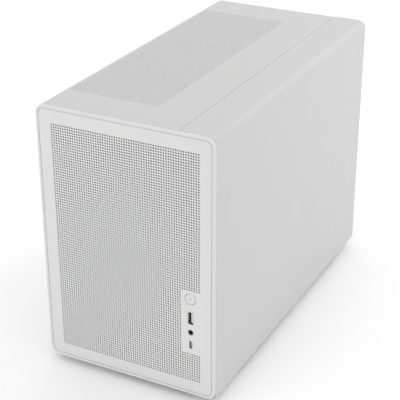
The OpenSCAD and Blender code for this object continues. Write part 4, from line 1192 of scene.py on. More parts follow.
paint(white_plastic, "filter_rails")
tray_lo, tray_hi = corners("bottom_filter")
tray_x = (tray_lo.x, tray_hi.x)
tray_end = rear_out
bm = bmesh.new()
openings = [rounded((-58, 58), (tray_lo.y + 18 + 44 * n, tray_lo.y + 54 + 44 * n), 2) for n in range(5)]
plate(bm, [rounded(tray_x, (tray_lo.y, tray_end), 1.5)] + openings, tray_lo.z, tray_hi.z, facing_up, 0.35)
slab(bm, (-14, tray_end - 1, tray_lo.z), (14, tray_hi.y, tray_hi.z), 0.5, 2)
piece("bottom_filter_tray", bm, white_plastic, "floor_filter", "bottom_filter")
bm = bmesh.new()
plate(bm, [rounded((-60, 60), (tray_lo.y + 10, tray_end - 10), 2)], tray_lo.z + 0.9, tray_lo.z + 1.3,
      facing_up, 0)
piece("bottom_filter_cloth", bm, filter_cloth, "floor_filter")

# ---- Fan frames ----
# Black glass-filled nylon: two flanges with a screw hole at each corner, a round duct between them, and
# four struts that carry the motor plate and the shaft.


def bar(bm, put, start, end, width, low, high):
    """A straight bar between two points in the fan's plane, from height low to high."""
    a, b = Vector(start), Vector(end)
    along = (b - a).normalized()
    across = Vector((-along.y, along.x)) * width / 2
    outline = [tuple(a - across), tuple(b - across), tuple(b + across), tuple(a + across)]
    plate(bm, [lambda d: outline], low, high, put, 0)


def from_face(centre, face, axis):
    """Places a fan's (u, v, w): w runs from its strut side, at face, down along -axis."""
    if axis == 2:
        return lambda u, v, w: (centre.x + u, centre.y - v, face - w)
    return lambda u, v, w: (centre.x + u, face - w, centre.z + v)


def fan_frame_mesh(bm, put, size, thick, bore, motor):
    """Adds a whole fan frame of square size and thickness, with its bore and motor radius."""
    half, post = size / 2, size / 2 - 7.5
    flange, screw_r = 3.4, 2.15
    square = rounded((-half, half), (-half, half), 5)
    posts = [(sx * post, sy * post) for sx in (-1, 1) for sy in (-1, 1)]
    for low, high in ((0, flange), (thick - flange, thick)):
        plate(bm, [square, disc((0, 0), bore, 72)] + [disc(p, screw_r, 20) for p in posts], low, high,
              put, 0.5)
    plate(bm, [disc((0, 0), bore + 1.7, 72), disc((0, 0), bore, 72)], flange, thick - flange, put, 0)
    for p in posts:
        plate(bm, [disc(p, 3.8, 20), disc(p, screw_r, 20)], flange, thick - flange, put, 0)
    lathe(bm, [(0, 0), (motor - 1, 0), (motor, 0.8), (motor, 3), (0, 3)], put, 48)
    for k in range(4):
        a = math.radians(45 + 90 * k)
        inner = ((motor - 1) * math.cos(a - 0.16), (motor - 1) * math.sin(a - 0.16))
        outer = ((bore + 0.8) * math.cos(a + 0.12), (bore + 0.8) * math.sin(a + 0.12))
        bar(bm, put, inner, outer, 3, 0.2, 2.9)
    lathe(bm, [(0, 3), (1.5, 3), (1.5, thick - 5.4), (1.2, thick - 5), (0, thick - 5)], put, 24)


bm = bmesh.new()
for lo, hi in islands("fan_frames"):
    size = hi - lo
    axis = 2 if size.z < size.y else 1
    centre = (lo + hi) / 2
    fan_frame_mesh(bm, from_face(centre, hi[axis], axis), size.x, 25, size.x / 2 - 2, 20)
piece("case_fan_frames", bm, black_moulding, "chassis", "fan_frames")
cooler_fan_lo, cooler_fan_hi = corners("cpu_fan_frame")
bm = bmesh.new()
fan_frame_mesh(bm, from_face((cooler_fan_lo + cooler_fan_hi) / 2, cooler_fan_hi.y, 1),
               cooler_fan_hi.x - cooler_fan_lo.x, 25, (cooler_fan_hi.x - cooler_fan_lo.x) / 2 - 2, 16)
piece("processor_fan_frame", bm, black_moulding, "chassis", "cpu_fan_frame")

# ---- Fan rotors ----
# One moulding each: a hub cup over the motor and curved, swept blades with a thin trailing edge.


def rotor_tree():
    """A blade copied round the axis of the hub given as the tree's own mesh."""
    tree, given, out = new_tree("bladed_rotor", [
        ("Hub", "NodeSocketGeometry", None), ("Blade", "NodeSocketObject", None),
        ("Count", "NodeSocketInt", 9),
        ("Material", "NodeSocketMaterial", None)])
    points = add_node(tree, "GeometryNodePoints", Count=given.outputs["Count"])
    step = add_node(tree, "ShaderNodeMath", {"operation": "DIVIDE"}, i_0=2 * math.pi,
                    i_1=given.outputs["Count"])
    turn = add_node(tree, "ShaderNodeMath", {"operation": "MULTIPLY"}, i_1=step.outputs[0],
                    i_0=add_node(tree, "GeometryNodeInputIndex").outputs[0])
    spin = add_node(tree, "ShaderNodeCombineXYZ", Z=turn.outputs[0])
    blade = add_node(tree, "GeometryNodeObjectInfo", Object=given.outputs["Blade"])
    blades = add_node(tree, "GeometryNodeInstanceOnPoints", Points=points.outputs[0],
                      Instance=blade.outputs["Geometry"], Rotation=spin.outputs[0])
    both = tree.nodes.new("GeometryNodeJoinGeometry")
    tree.links.new(given.outputs["Hub"], both.inputs[0])
    tree.links.new(blades.outputs[0], both.inputs[0])
    end_tree(tree, given, out, both.outputs[0])
    return tree


bladed_rotor = rotor_tree()


def blade_shape(hub, tip, low, high, span, sweep):
    """One blade: rings of a thin cambered section from the hub out to the tip."""
    bm = bmesh.new()
    rings = []
    chords = 8
    for i in range(9):
        out = i / 8
        r = hub - 0.6 + (tip - hub + 0.6) * out
        middle = sweep * out ** 1.4
        face = []
        for n, side_way in ((range(chords + 1), 1), (range(chords, -1, -1), -1)):
            for j in n:
                s = j / chords
                a = middle + span * (0.9 - 0.1 * out) * (s - 0.5)
                lift = 0.25 + 0.55 * math.sin(math.pi * min(s + 0.12, 1))
                w = low + (high - low) * (s + 0.1 * math.sin(math.pi * s)) + side_way * lift
                face.append(bm.verts.new((r * math.cos(a), r * math.sin(a), w)))
        rings.append(face)
    bridge(bm, rings)
    bm.faces.new(rings[0])
    bm.faces.new(rings[-1])
    return shape(bm)


def axle(node):
    """The middle of a rotor's shaft bore in millimetres, since its blades aren't alike on opposite sides."""
    lo, hi = corners(node)
    middle = (lo + hi) / 2
    axis = 2 if hi.z - lo.z < hi.y - lo.y else 1
    bore = []
    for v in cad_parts[node].data.vertices:
        away = v.co * 1000 - middle
        away[axis] = 0
        if away.length < 6:
            bore.append(v.co * 1000)
    return Vector([(min(p[i] for p in bore) + max(p[i] for p in bore)) / 2 for i in range(3)])


def rotor(name, node, body, base, axis, thick, reach, hub, blades):
    """A rotor whose local axis runs down from base, the face of its frame's strut side."""
    centre = axle(node)
    bm = bmesh.new()
    lathe(bm, [(0, thick - 4.6), (1.7, thick - 4.6), (1.7, 4), (hub - 0.5, 4), (hub, 4.5), (hub, thick - 4),
               (hub - 0.5, thick - 2.8), (hub - 2, thick - 2), (hub - 5, thick - 2),
               (hub - 5.4, thick - 2.4), (0, thick - 2.4)], facing_up, 48)
    start = metre_mesh(name, bm)
    blade = blade_shape(hub, reach - 1.3, 5.3, thick - 3.6, 2 * math.pi / blades * 0.92, -0.5)
    if axis == 2:
        put = Matrix(((1, 0, 0, centre.x / 1000), (0, -1, 0, centre.y / 1000), (0, 0, -1, base / 1000),
                      (0, 0, 0, 1)))
    else:
        put = Matrix(((1, 0, 0, centre.x / 1000), (0, 0, -1, base / 1000), (0, 1, 0, centre.z / 1000),
                      (0, 0, 0, 1)))
    grown(name, bladed_rotor, {"Blade": blade, "Count": blades}, put, rotor_black, body, node, start=start)
    bpy.data.objects.remove(blade)


rotor_black = finish("rotor_moulding", (0.028, 0.028, 0.03), 0.38, grain=1400.0, bump=0.12, dust=0.12)
for name, node, body, thick, reach, hub, blades in (
        ("roof_rotor_front", "top_front_rotor", "top_fan_front", 25, 58, 20, 9),
        ("roof_rotor_rear", "top_rear_rotor", "top_fan_rear", 25, 58, 20, 9),
        ("rear_fan_rotor", "rear_rotor", "rear_fan", 25, 58, 20, 9),
        ("processor_rotor", "cpu_fan_rotor", "processor_fan", 25, 44, 16, 9),
        ("supply_rotor", "psu_rotor", "supply_fan", 25, 57, 20, 7),
        ("card_rotor_front", "card_rotor_1", "card_fan_front", 20, 42.7, 14, 11),
        ("card_rotor_rear", "card_rotor_2", "card_fan_rear", 20, 42.7, 14, 11)):
    lo, hi = corners(node)
    axis = 2 if hi.z - lo.z < hi.y - lo.y else 1
    rotor(name, node, body, hi[axis] + 4, axis, thick, reach, hub, blades)

# ---- Motherboard ----
# Glass laminate under dark solder mask, with traces and screw holes, screwed to the tray's spacers.


def trace_group():
    """Runs of parallel copper traces in patches, seen through the solder mask."""
    tree, given, out = new_group("board_traces", [("Pitch", "NodeSocketFloat", 0.0012)],
                                 [("Mask", "NodeSocketFloat")])
    place = add_node(tree, "ShaderNodeTexCoord").outputs["Object"]
    cells = add_node(tree, "ShaderNodeTexVoronoi", {"distance": "CHEBYCHEV"}, Vector=place, Scale=55.0)
    pick = add_node(tree, "ShaderNodeSeparateXYZ", Vector=cells.outputs["Color"])
    axes = add_node(tree, "ShaderNodeSeparateXYZ", Vector=place)
    upright = add_node(tree, "ShaderNodeMath", {"operation": "GREATER_THAN"}, i_0=pick.outputs["X"],
                       i_1=0.5)
    along = add_node(tree, "ShaderNodeMix", {"data_type": "FLOAT"})
    tree.links.new(upright.outputs[0], along.inputs[0])
    tree.links.new(axes.outputs["Y"], along.inputs[2])
    tree.links.new(axes.outputs["Z"], along.inputs[3])
    turns = add_node(tree, "ShaderNodeMath", {"operation": "DIVIDE"}, i_0=along.outputs[0],
                     i_1=given.outputs["Pitch"])
    part = add_node(tree, "ShaderNodeMath", {"operation": "FRACT"}, i_0=turns.outputs[0])
    line = add_node(tree, "ShaderNodeMath", {"operation": "GREATER_THAN"}, i_0=part.outputs[0], i_1=0.55)
    used = add_node(tree, "ShaderNodeMath", {"operation": "GREATER_THAN"}, i_0=pick.outputs["Y"], i_1=0.45)
    mask = add_node(tree, "ShaderNodeMath", {"operation": "MULTIPLY"}, i_0=line.outputs[0],
                    i_1=used.outputs[0])
    tree.links.new(mask.outputs[0], out.inputs["Mask"])
    return tree


board_traces = trace_group()


def laminate(name, colour, trace):
    """Circuit board: solder mask with slightly raised, lighter traces under it."""
    material = finish(name, colour, 0.34, grain=700.0, bump=0.06, tone=0.05, coat=0.3, dust=0.1)
    tree = material.node_tree
    shader = tree.nodes["Principled BSDF"]
    lines = add_node(tree, "ShaderNodeGroup", {"node_tree": board_traces})
    mix = add_node(tree, "ShaderNodeMix", {"data_type": "RGBA"})
    tree.links.new(lines.outputs["Mask"], mix.inputs[0])
    tree.links.new(shader.inputs["Base Color"].links[0].from_socket, mix.inputs[6])
    mix.inputs[7].default_value = (*trace, 1)
    tree.links.new(mix.outputs[2], shader.inputs["Base Color"])
    relief = add_node(tree, "ShaderNodeBump", Height=lines.outputs["Mask"], Strength=0.4, Distance=0.0001)
    tree.links.new(relief.outputs["Normal"], shader.inputs["Normal"])
    return material


solder_mask = laminate("solder_mask", (0.018, 0.023, 0.026), (0.055, 0.064, 0.068))
board_lo, board_hi = corners("motherboard")
bm = bmesh.new()
holes = [disc((p[1], p[2]), 1.7, 16) for p in board_screws]
plate(bm, [rounded((board_lo.y, board_hi.y), (board_lo.z, board_hi.z), 2)] + holes, board_lo.x, board_hi.x,
      facing_side, 0.1)
piece("motherboard_laminate", bm, solder_mask, "chassis", "motherboard")

# ---- Board sockets and heat sinks ----
# Moulded memory, card and power connectors, the processor's socket plate, and finned aluminium blocks
# over the voltage regulator, with its chokes and capacitors between them.

aluminium = finish("cast_aluminium", (0.66, 0.66, 0.67), 0.34, grain=1600.0, bump=0.2, metal=1.0,
                   tone=0.05, dust=0.1)
parts = islands("board_parts")
bm = bmesh.new()
metal = bmesh.new()
for lo, hi in parts:
    size = hi - lo
    middle = (lo + hi) / 2
    if size.z > 100:
        plate(bm, [rounded((lo.y, hi.y), (lo.z, hi.z), 0.5), rounded((middle.y - 0.8, middle.y + 0.8),
              (lo.z + 3, hi.z - 3), 0.2)], lo.x, lo.x + 5, facing_side, 0.15)
        slab(bm, (lo.x + 5, lo.y, lo.z), (hi.x, hi.y, hi.z), 0.2)
        for z in (lo.z, hi.z - 7):
            slab(bm, (lo.x - 5, middle.y - 1.9, z), (lo.x, middle.y - 0.8, z + 7), 0.3)
            slab(bm, (lo.x - 5, middle.y + 0.8, z), (lo.x, middle.y + 1.9, z + 7), 0.3)
    elif size.y > 80:
        plate(bm, [rounded((lo.y, hi.y), (lo.z, hi.z), 0.5), rounded((lo.y + 1.6, hi.y - 1.6),
              (middle.z - 1, middle.z + 1), 0.1)], lo.x, hi.x - 1.6, facing_side, 0.3)
        slab(bm, (hi.x - 1.6, lo.y, lo.z), (hi.x, hi.y, hi.z), 0.2)
        slab(bm, (lo.x + 2, lo.y - 5, lo.z + 1), (hi.x - 3, lo.y, hi.z - 1), 0.5)
    elif abs(size.y - 40) < 1:
        plate(metal, [rounded((lo.y, hi.y), (lo.z, hi.z), 2)], lo.x, hi.x - 2, facing_side, 0.4)
        slab(bm, (hi.x - 2, lo.y - 2, lo.z - 2), (hi.x, hi.y + 2, hi.z + 2), 0.3)
    elif size.x < 11:
        cells = [rounded((y - 1.6, y + 1.6), (lo.z + 2.6 + 4.2 * n, lo.z + 5.6 + 4.2 * n), 0.4)
                 for y in (middle.y - 2.1, middle.y + 2.1) for n in range(12)]
        plate(bm, [rounded((lo.y, hi.y), (lo.z, hi.z), 0.6)] + cells, lo.x, hi.x - 2, facing_side, 0.2)
        slab(bm, (hi.x - 2, lo.y, lo.z), (hi.x, hi.y, hi.z), 0.2)
    else:
        slab(metal, (hi.x - 4, lo.y, lo.z), (hi.x, hi.y, hi.z), 0.4)
        for n in range(12):
            z = lo.z + 1 + n * (size.z - 3.4) / 11
            slab(metal, (lo.x, lo.y, z), (hi.x - 4, hi.y, z + 1.4), 0.3)
piece("board_connectors", bm, black_moulding, "chassis", "board_parts")
chip_y = (board_lo.y + 20, board_lo.y + 48)
chip_z = (board_lo.z + 96, board_lo.z + 124)
slab(metal, (board_lo.x - 6, chip_y[0], chip_z[0]), (board_lo.x, chip_y[1], chip_z[1]), 0.5, 2)
for n in range(7):
    z = chip_z[0] + 1 + n * 4.1
    slab(metal, (board_lo.x - 10, chip_y[0] + 1, z), (board_lo.x - 6, chip_y[1] - 1, z + 1.8), 0.3)
piece("board_heat_sinks", metal, aluminium, "chassis")

can_steel = finish("capacitor_can", (0.7, 0.7, 0.71), 0.3, grain=2000.0, bump=0.08, metal=1.0, tone=0.05)
choke_grey = finish("choke_ferrite", (0.13, 0.13, 0.135), 0.5, grain=1200.0, bump=0.3, tone=0.06)
chip_black = finish("chip_epoxy", (0.02, 0.02, 0.021), 0.55, grain=2600.0, bump=0.15)
cpu_lo, cpu_hi = [pair for pair in parts if abs(pair[1].y - pair[0].y - 40) < 1][0]
cpu_y, cpu_z = (cpu_lo.y + cpu_hi.y) / 2, (cpu_lo.z + cpu_hi.z) / 2
face_x = board_lo.x
bm = bmesh.new()
lathe(bm, [(0, 0), (2.9, 0), (3.1, 0.3), (3.1, 1), (2.95, 1.2), (3.1, 1.4), (3.1, 7), (2.8, 7.4),
           (0, 7.4)], facing_up, 20)
cans = [(face_x, cpu_y + 27, cpu_z - 22 + 7.4 * n) for n in range(6)]
cans += [(face_x, board_lo.y + 30 + 11 * n, board_lo.z + 12) for n in range(4)]
spread("board_capacitors", shape(bm), cans, (0, -math.pi / 2, 0), can_steel, "chassis")
bm = bmesh.new()
plate(bm, [rounded((-3.6, 3.6), (-3.6, 3.6), 0.8)], 0, 4.6, facing_up, 0.5)
chokes = [(face_x, cpu_y + 37, cpu_z - 26 + 9.5 * n) for n in range(6)]
chokes += [(face_x, cpu_y - 22 + 9.5 * n, board_hi.z - 16) for n in range(5)]
spread("board_chokes", shape(bm), chokes, (0, -math.pi / 2, 0), choke_grey, "chassis")
bm = bmesh.new()
plate(bm, [rounded((-3, 3), (-4, 4), 0.3)], 0, 1.2, facing_up, 0.15)
chips = [(face_x, board_lo.y + 16 + 24 * n, board_lo.z + 26 + 18 * (n % 3)) for n in range(6)]
chips += [(face_x, board_lo.y + 10, board_lo.z + 140 + 14 * n) for n in range(3)]
spread("board_chips", shape(bm), chips, (0, -math.pi / 2, 0), chip_black, "chassis")

# ---- Memory modules ----
# Two upright circuit boards in their slots, with eight black memory chips on each side.

bm = bmesh.new()
chip_places = []
for lo, hi in islands("memory_modules"):
    plate(bm, [rounded((lo.x, hi.x), (lo.z, hi.z), 0.5)], lo.y, hi.y, facing_front, 0.1)
    chip_places += [(lo.x + 13, y, lo.z + 13 + 15.2 * n) for n in range(8)
                    for y in (lo.y - 0.5, hi.y - 0.5)]
piece("memory_boards", bm, solder_mask, "chassis", "memory_modules")
bm = bmesh.new()
plate(bm, [rounded((-5.5, 5.5), (-4.5, 4.5), 0.3)], 0, 1.0, facing_front, 0.12)
spread("memory_chips", shape(bm), chip_places, (0, 0, 0), chip_black, "chassis")

# ---- Processor cooler ----
# Plated base held to the socket by a spring bar, four plated heat pipes, and a stack of stamped
# aluminium fins with rounded corners.


def tube(bm, points, r, sides=12):
    """Sweeps a round section of radius r along points in millimetres, closed at both ends."""
    rings = []
    guide = Vector((0.13, 0.21, 0.97))
    for k, p in enumerate(points):
        p = Vector(p)
        ahead = Vector(points[min(k + 1, len(points) - 1)]) - Vector(points[max(k - 1, 0)])
        ahead.normalize()
        u = ahead.cross(guide).normalized()
        v = ahead.cross(u)
        turns = [2 * math.pi * n / sides for n in range(sides)]
        rings.append([bm.verts.new(p + r * (math.cos(a) * u + math.sin(a) * v)) for a in turns])
    bridge(bm, rings)
    bm.faces.new(rings[0])
    bm.faces.new(rings[-1])


def eased(points, steps=6):
    """A smooth line through points, by a Catmull-Rom curve."""
    out = []
    ends = [points[0]] + list(points) + [points[-1]]
    for a, b, c, d in zip(ends, ends[1:], ends[2:], ends[3:]):
        a, b, c, d = (Vector(p) for p in (a, b, c, d))
        for n in range(steps):
            t = n / steps
            out.append(0.5 * (2 * b + (c - a) * t + (2 * a - 5 * b + 4 * c - d) * t ** 2
                              + (3 * b - a - 3 * c + d) * t ** 3))
    return out + [Vector(points[-1])]


cooler_lo, cooler_hi = corners("cpu_cooler")
fin_span = (cooler_lo.x + 3, cooler_hi.x - 26)
fin_half = ((cooler_hi.y - cooler_lo.y) / 2, (cooler_hi.z - cooler_lo.z) / 2)
fin_z = (cooler_lo.z + cooler_hi.z) / 2
pipes = [(-9, -30), (9, -16), (-9, 16), (9, 30)]
bm = bmesh.new()
slots = [disc((cpu_y + y, fin_z + z), 3.1, 20) for y, z in pipes]
corner = fin_half[0]
fin_edge = rounded((cpu_y - corner, cpu_y + corner), (fin_z - fin_half[1], fin_z + fin_half[1]), 4)
plate(bm, [fin_edge] + slots, 0, 0.45, facing_side, 0)
fins = [(fin_span[0] + n * (fin_span[1] - fin_span[0]) / 38, 0, 0) for n in range(39)]
spread("processor_fins", shape(bm), fins, (0, 0, 0), aluminium, "chassis", "cpu_cooler")
bm = bmesh.new()
for y, z in pipes:
    route = [(fin_span[0] - 2.5, cpu_y + y, fin_z + z), (fin_span[1] + 2, cpu_y + y, fin_z + z),
             (cpu_lo.x - 11, cpu_y + y * 0.8, fin_z + z * 0.85),
             (cpu_lo.x - 5, cpu_y + y * 0.8, fin_z + z * 0.4), (cpu_lo.x - 5, cpu_y + y * 0.8, fin_z)]
    tube(bm, eased(route), 3.0, 14)
slab(bm, (cpu_lo.x - 10, cpu_y - 20, cpu_z - 20), (cpu_lo.x, cpu_y + 20, cpu_z + 20), 0.6, 1.5)
slab(bm, (cpu_lo.x - 7, cpu_y - 42, cpu_z - 5), (cpu_lo.x - 5, cpu_y + 42, cpu_z + 5), 0.3)
for s in (-1, 1):
    lathe(bm, [(0, 0), (1.6, 0), (1.6, 12), (3.4, 12.2), (3.4, 14), (0, 14.4)],
          lambda u, v, w, s=s: (face_x - w, cpu_y + s * 38 + u, cpu_z + v), 16)
piece("processor_cooler_base", bm, nickel, "chassis")

# ---- Graphics card ----
# Laminate with a coated backplate, a finned cooler under a black moulded shroud round two fans, and a
# plated two-slot bracket with its video sockets.

whole_lo, whole_hi = corners("graphics_card")
card_lo, card_hi = corners("card_cooler")
shroud_lo, shroud_hi = corners("card_shroud")
card_z = shroud_hi.z
main_lo = Vector((shroud_lo.x, whole_lo.y, card_z))
main_hi = Vector((shroud_hi.x, whole_hi.y - 2, card_z + 1.6))
bm = bmesh.new()
outline = [(main_lo.x, main_lo.y), (main_hi.x, main_lo.y), (main_hi.x, 22), (whole_hi.x, 22),
           (whole_hi.x, 108), (main_hi.x, 108), (main_hi.x, main_hi.y), (main_lo.x, main_hi.y)]
plate(bm, [lambda d: outline], main_lo.z, main_hi.z, facing_up, 0)
piece("card_laminate", bm, solder_mask, "chassis", "graphics_card")
black_coat = finish("black_powder_coat", (0.022, 0.022, 0.023), 0.5, grain=1300.0, bump=0.3, dust=0.16)
bm = bmesh.new()
slits = [rounded((main_lo.x + 18, main_hi.x - 18), (y, y + 3), 1.49) for y in
         [main_lo.y + 14 + 8 * n for n in range(9)]]
plate(bm, [rounded((main_lo.x + 0.5, main_hi.x - 0.5), (main_lo.y + 0.5, main_hi.y - 6), 3)] + slits,
      main_hi.z + 1.6, main_hi.z + 2.6, facing_up, 0.3)
for x in (main_lo.x + 8, main_hi.x - 8):
    for y in (main_lo.y + 8, main_lo.y + 120, main_hi.y - 16):
        lathe(bm, [(0, main_hi.z), (2.4, main_hi.z), (2.4, main_hi.z + 1.6), (0, main_hi.z + 1.6)],
              lambda u, v, w, x=x, y=y: (x + u, y + v, w), 12)
piece("card_backplate", bm, black_coat, "chassis")
bm = bmesh.new()
sockets = bmesh.new()
plate_lo = Vector((whole_lo.x, whole_hi.y - 2, whole_lo.z))
plate_hi = Vector((shroud_hi.x - 1, whole_hi.y, whole_hi.z))
low_z, high_z = plate_lo.z + 11.6, card_z
video = [rounded((plate_lo.x + 8 + 23 * n, plate_lo.x + 24 + 23 * n), (high_z - 5, high_z), 1.2)
         for n in range(4)]
grille = [rounded((plate_lo.x + 8 + 6.2 * n, plate_lo.x + 11.5 + 6.2 * n), (low_z - 3, low_z + 3), 1.7)
          for n in range(15)]
plate(bm, [rounded((plate_lo.x, plate_hi.x), (plate_lo.z, plate_hi.z), 1)] + video + grille, plate_lo.y,
      plate_hi.y, facing_front, 0.2)
piece("card_bracket", bm, nickel, "chassis")
for n in range(4):
    x = plate_lo.x + 8 + 23 * n
    slab(sockets, (x + 0.2, plate_lo.y - 10, high_z - 4.8), (x + 15.8, plate_lo.y - 0.5, high_z - 0.2), 0.4)
    slab(sockets, (x + 3, plate_lo.y - 0.5, high_z - 3.2), (x + 13, plate_lo.y + 0.8, high_z - 2), 0.2)
piece("card_video_sockets", sockets, black_moulding, "chassis")

bm = bmesh.new()
plate(bm, [rounded((card_lo.x, card_hi.x), (card_z - 16, card_z - 5), 1)], 0, 0.4, facing_front, 0)
count = 84
fins = [(0, card_lo.y + 1 + n * (card_hi.y - card_lo.y - 3) / (count - 1), 0) for n in range(count)]
spread("card_fins", shape(bm), fins, (0, 0, 0), aluminium, "chassis", "card_cooler")
bm = bmesh.new()
slab(bm, (card_lo.x, card_lo.y, card_z - 5), (card_hi.x, card_hi.y, card_z - 0.1), 0.4)
for n in range(4):
    x = card_lo.x + 14 + n * (card_hi.x - card_lo.x - 28) / 3
    tube(bm, [(x, card_lo.y - 1, card_z - 8), (x, card_hi.y + 1, card_z - 8)], 3, 12)
piece("card_heat_pipes", bm, nickel, "chassis")

card_x = (shroud_lo.x + shroud_hi.x) / 2
card_fans = [axle(n) for n in ("card_rotor_1", "card_rotor_2")]
bm = bmesh.new()
face = (shroud_lo.z, shroud_lo.z + 2)
mouths = [disc((card_x, c.y), 43, 72) for c in card_fans]
lid = rounded((shroud_lo.x, shroud_hi.x), (shroud_lo.y, shroud_hi.y), 7, 8)
plate(bm, [lid] + mouths, face[0], face[1], facing_up, 0.9)
plate(bm, [lid, lambda d: lid(1.5 - d)], face[1], card_z - 0.2, facing_up, 0)
for c in card_fans:
    put = from_face(Vector((card_x, c.y, 0)), card_z - 19, 2)
    lathe(bm, [(0, -3), (13, -3), (14, -2.4), (14, 0), (0, 0)], put, 40)
    lathe(bm, [(0, 3), (1.5, 3), (1.5, 14.6), (1.2, 15), (0, 15)], put, 20)
    for k in range(3):
        a = math.radians(90 + 120 * k)
        bar(bm, put, (13 * math.cos(a), 13 * math.sin(a)), (50 * math.cos(a), 50 * math.sin(a)), 3.4,
            -2.6, -0.2)
    lathe(bm, [(43.2, 18.2), (44.2, 18.2), (44.2, 6), (43.2, 6), (43.2, 18.2)], put, 64)
for s in (-1, 1):
    x = card_x + s * 47
    slab(bm, (x - 1.2, shroud_lo.y + 16, shroud_lo.z), (x + 1.2, shroud_hi.y - 16, shroud_lo.z + 0.6), 0.25)
piece("card_shroud_moulding", bm, black_moulding, "chassis", "card_shroud")

# ---- Power supply ----
# Steel case in black powder coat on two hangers, with its board inside and a rocker that cuts the mains.
# Its fan stands behind a wire guard; the arms of the fan's spider end short of the case walls.

supply_board = laminate("supply_board", (0.1, 0.075, 0.03), (0.16, 0.12, 0.05))
case_lo, case_hi = corners("psu_case")
case_height, case_depth = 140, 86
case_hi.z = case_lo.z + case_height
case_lo.y = case_hi.y - case_depth
wind = (axle("psu_rotor").x, axle("psu_rotor").z)
rocker_lo, rocker_hi = corners("psu_rocker")
socket_x, middle_y = case_lo.x + 34, (case_lo.y + case_hi.y) / 2
rocker_x = (rocker_lo.x + rocker_hi.x) / 2
spider_reach = 69
bm = bmesh.new()
across, upright = (case_lo.x, case_hi.x), (case_lo.z, case_hi.z)
mouth_posts = [disc((wind[0] + sx * 52.5, wind[1] + sz * 52.5), 1.8, 16) for sx in (-1, 1)
               for sz in (-1, 1)]
plate(bm, [rounded(across, upright, 1.5), disc(wind, 57, 96)] + mouth_posts, case_lo.y, case_lo.y + 1,
      facing_front, 0.3)
plate(bm, [rounded(across, upright, 1.5)], case_hi.y - 1, case_hi.y, facing_front, 0.3)
depth = (case_lo.y + 1, case_hi.y - 1)
plate(bm, [rounded(across, depth, 0.3),
           rounded((socket_x - 14, socket_x + 14), (middle_y - 10, middle_y + 10), 1),
           rounded((rocker_x - 6.4, rocker_x + 6.4), (middle_y - 9.6, middle_y + 9.6), 1)],
      case_lo.z, case_lo.z + 1, facing_up, 0.1)
vents = [rounded((case_lo.x + 16 + 8 * n, case_lo.x + 20 + 8 * n), (case_lo.y + 14, case_hi.y - 14), 1.9)
         for n in range(16)]
plate(bm, [rounded(across, depth, 0.3)] + vents, case_hi.z - 1, case_hi.z, facing_up, 0.1)
for x in (case_lo.x, case_hi.x - 1):
    plate(bm, [rounded(depth, (case_lo.z + 1, case_hi.z - 1), 0.3)], x, x + 1, facing_side, 0.1)
for x in (case_lo.x + 30, case_hi.x - 44):
    slab(bm, (x, corners("psu_case")[0].y, case_hi.z - 8),
         (x + 14, case_lo.y, corners("psu_case")[1].z), 0.4)
put = from_face(Vector((wind[0], 0, wind[1])), case_lo.y + 27, 1)
lathe(bm, [(0, 0), (19, 0), (20, 0.8), (20, 3), (0, 3)], put, 48)
lathe(bm, [(0, 3), (1.5, 3), (1.5, 19.6), (1.2, 20), (0, 20)], put, 24)
for k in range(4):
    a = math.radians(45 + 90 * k)
    start, end = ((r * math.cos(a), r * math.sin(a)) for r in (19, spider_reach))
    bar(bm, put, start, end, 3, 0.2, 2.9)
piece("supply_case", bm, black_coat, "chassis", "psu_case")
guard_lo, guard_hi = corners("psu_grille")
guard_y = (guard_lo.y + guard_hi.y) / 2
bm = bmesh.new()
for n in range(6):
    r = 12 + 9 * n
    ring = [(wind[0] + r * math.cos(math.pi * k / 36), guard_y, wind[1] + r * math.sin(math.pi * k / 36))
            for k in range(72)]
    rings = []
    for k in range(72):
        c = Vector(ring[k])
        out_way = (c - Vector((wind[0], guard_y, wind[1]))).normalized()
        turns = [math.pi * n / 4 for n in range(8)]
        rings.append([bm.verts.new(c + 0.75 * (math.cos(a) * out_way + math.sin(a) * Vector((0, 1, 0))))
                      for a in turns])
    bridge(bm, rings + rings[:1])
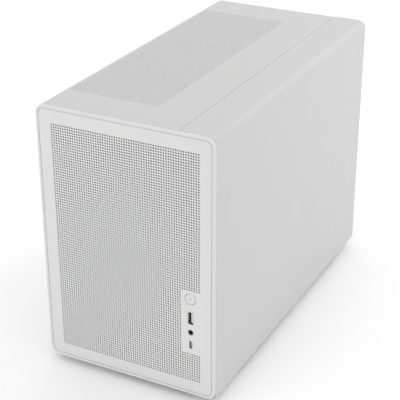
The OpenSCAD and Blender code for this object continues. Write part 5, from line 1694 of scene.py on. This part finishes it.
for k in range(4):
    a = math.radians(45 + 90 * k)
    tube(bm, [(wind[0] + r * math.cos(a), guard_y, wind[1] + r * math.sin(a)) for r in (11, 40, 60)],
         0.75, 8)
    x, z = wind[0] + 60 * math.cos(a), wind[1] + 60 * math.sin(a)
    plate(bm, [disc((x, z), 4.6, 24), disc((x, z), 2, 16)], guard_lo.y, guard_hi.y, facing_front, 0.2)
piece("supply_guard", bm, nickel, "chassis", "psu_grille")
paint(supply_board, "psu_electronics")
bm = bmesh.new()
half = (rocker_hi.x - rocker_lo.x) / 2 - 0.3
profile = [(rocker_lo.y + 0.4, rocker_hi.z), (rocker_lo.y + 0.2, rocker_lo.z + 1.2),
           (rocker_lo.y + 2, rocker_lo.z + 0.2)]
profile += [(middle_y - 4 + n, rocker_lo.z + 0.2 + 1.3 * math.sin(math.pi * n / 8)) for n in range(9)]
profile += [(rocker_hi.y - 2, rocker_lo.z + 0.2), (rocker_hi.y - 0.2, rocker_lo.z + 1.2),
            (rocker_hi.y - 0.4, rocker_hi.z)]
rings = [[bm.verts.new((rocker_x + s * half, y, z)) for y, z in profile] for s in (-1, 1)]
bridge(bm, rings)
bm.faces.new(rings[0])
bm.faces.new(rings[1])
piece("supply_rocker", bm, black_moulding, "rocker", "psu_rocker")
lead_rubber = finish("lead_rubber", (0.018, 0.018, 0.018), 0.5, grain=2200.0, bump=0.25, dust=0.1)
paint(lead_rubber, "mains_lead")

# ---- Port bracket and drive ----
# Moulded bracket behind the port column with the port board, its push switch and the button's guide;
# and a plain 2.5 inch drive on the tray's back.

paint(black_moulding, "io_bracket", "button_guide")
paint(solder_mask, "io_board")
paint(nickel, "power_switch")
drive_lo, drive_hi = corners("drive")
drive_shell = finish("drive_case", (0.32, 0.32, 0.33), 0.36, grain=1500.0, bump=0.18, metal=1.0, tone=0.06)
bm = bmesh.new()
split = drive_lo.x + (drive_hi.x - drive_lo.x) * 0.4
case = rounded((drive_lo.y, drive_hi.y), (drive_lo.z, drive_hi.z), 3)
plate(bm, [case], drive_lo.x, split - 0.15, facing_side, 0.6)
plate(bm, [lambda d: case(d + 0.4)], split - 0.15, split + 0.15, facing_side, 0)
plate(bm, [case], split + 0.15, drive_hi.x, facing_side, 0.6)
piece("drive_case_halves", bm, drive_shell, "chassis", "drive")
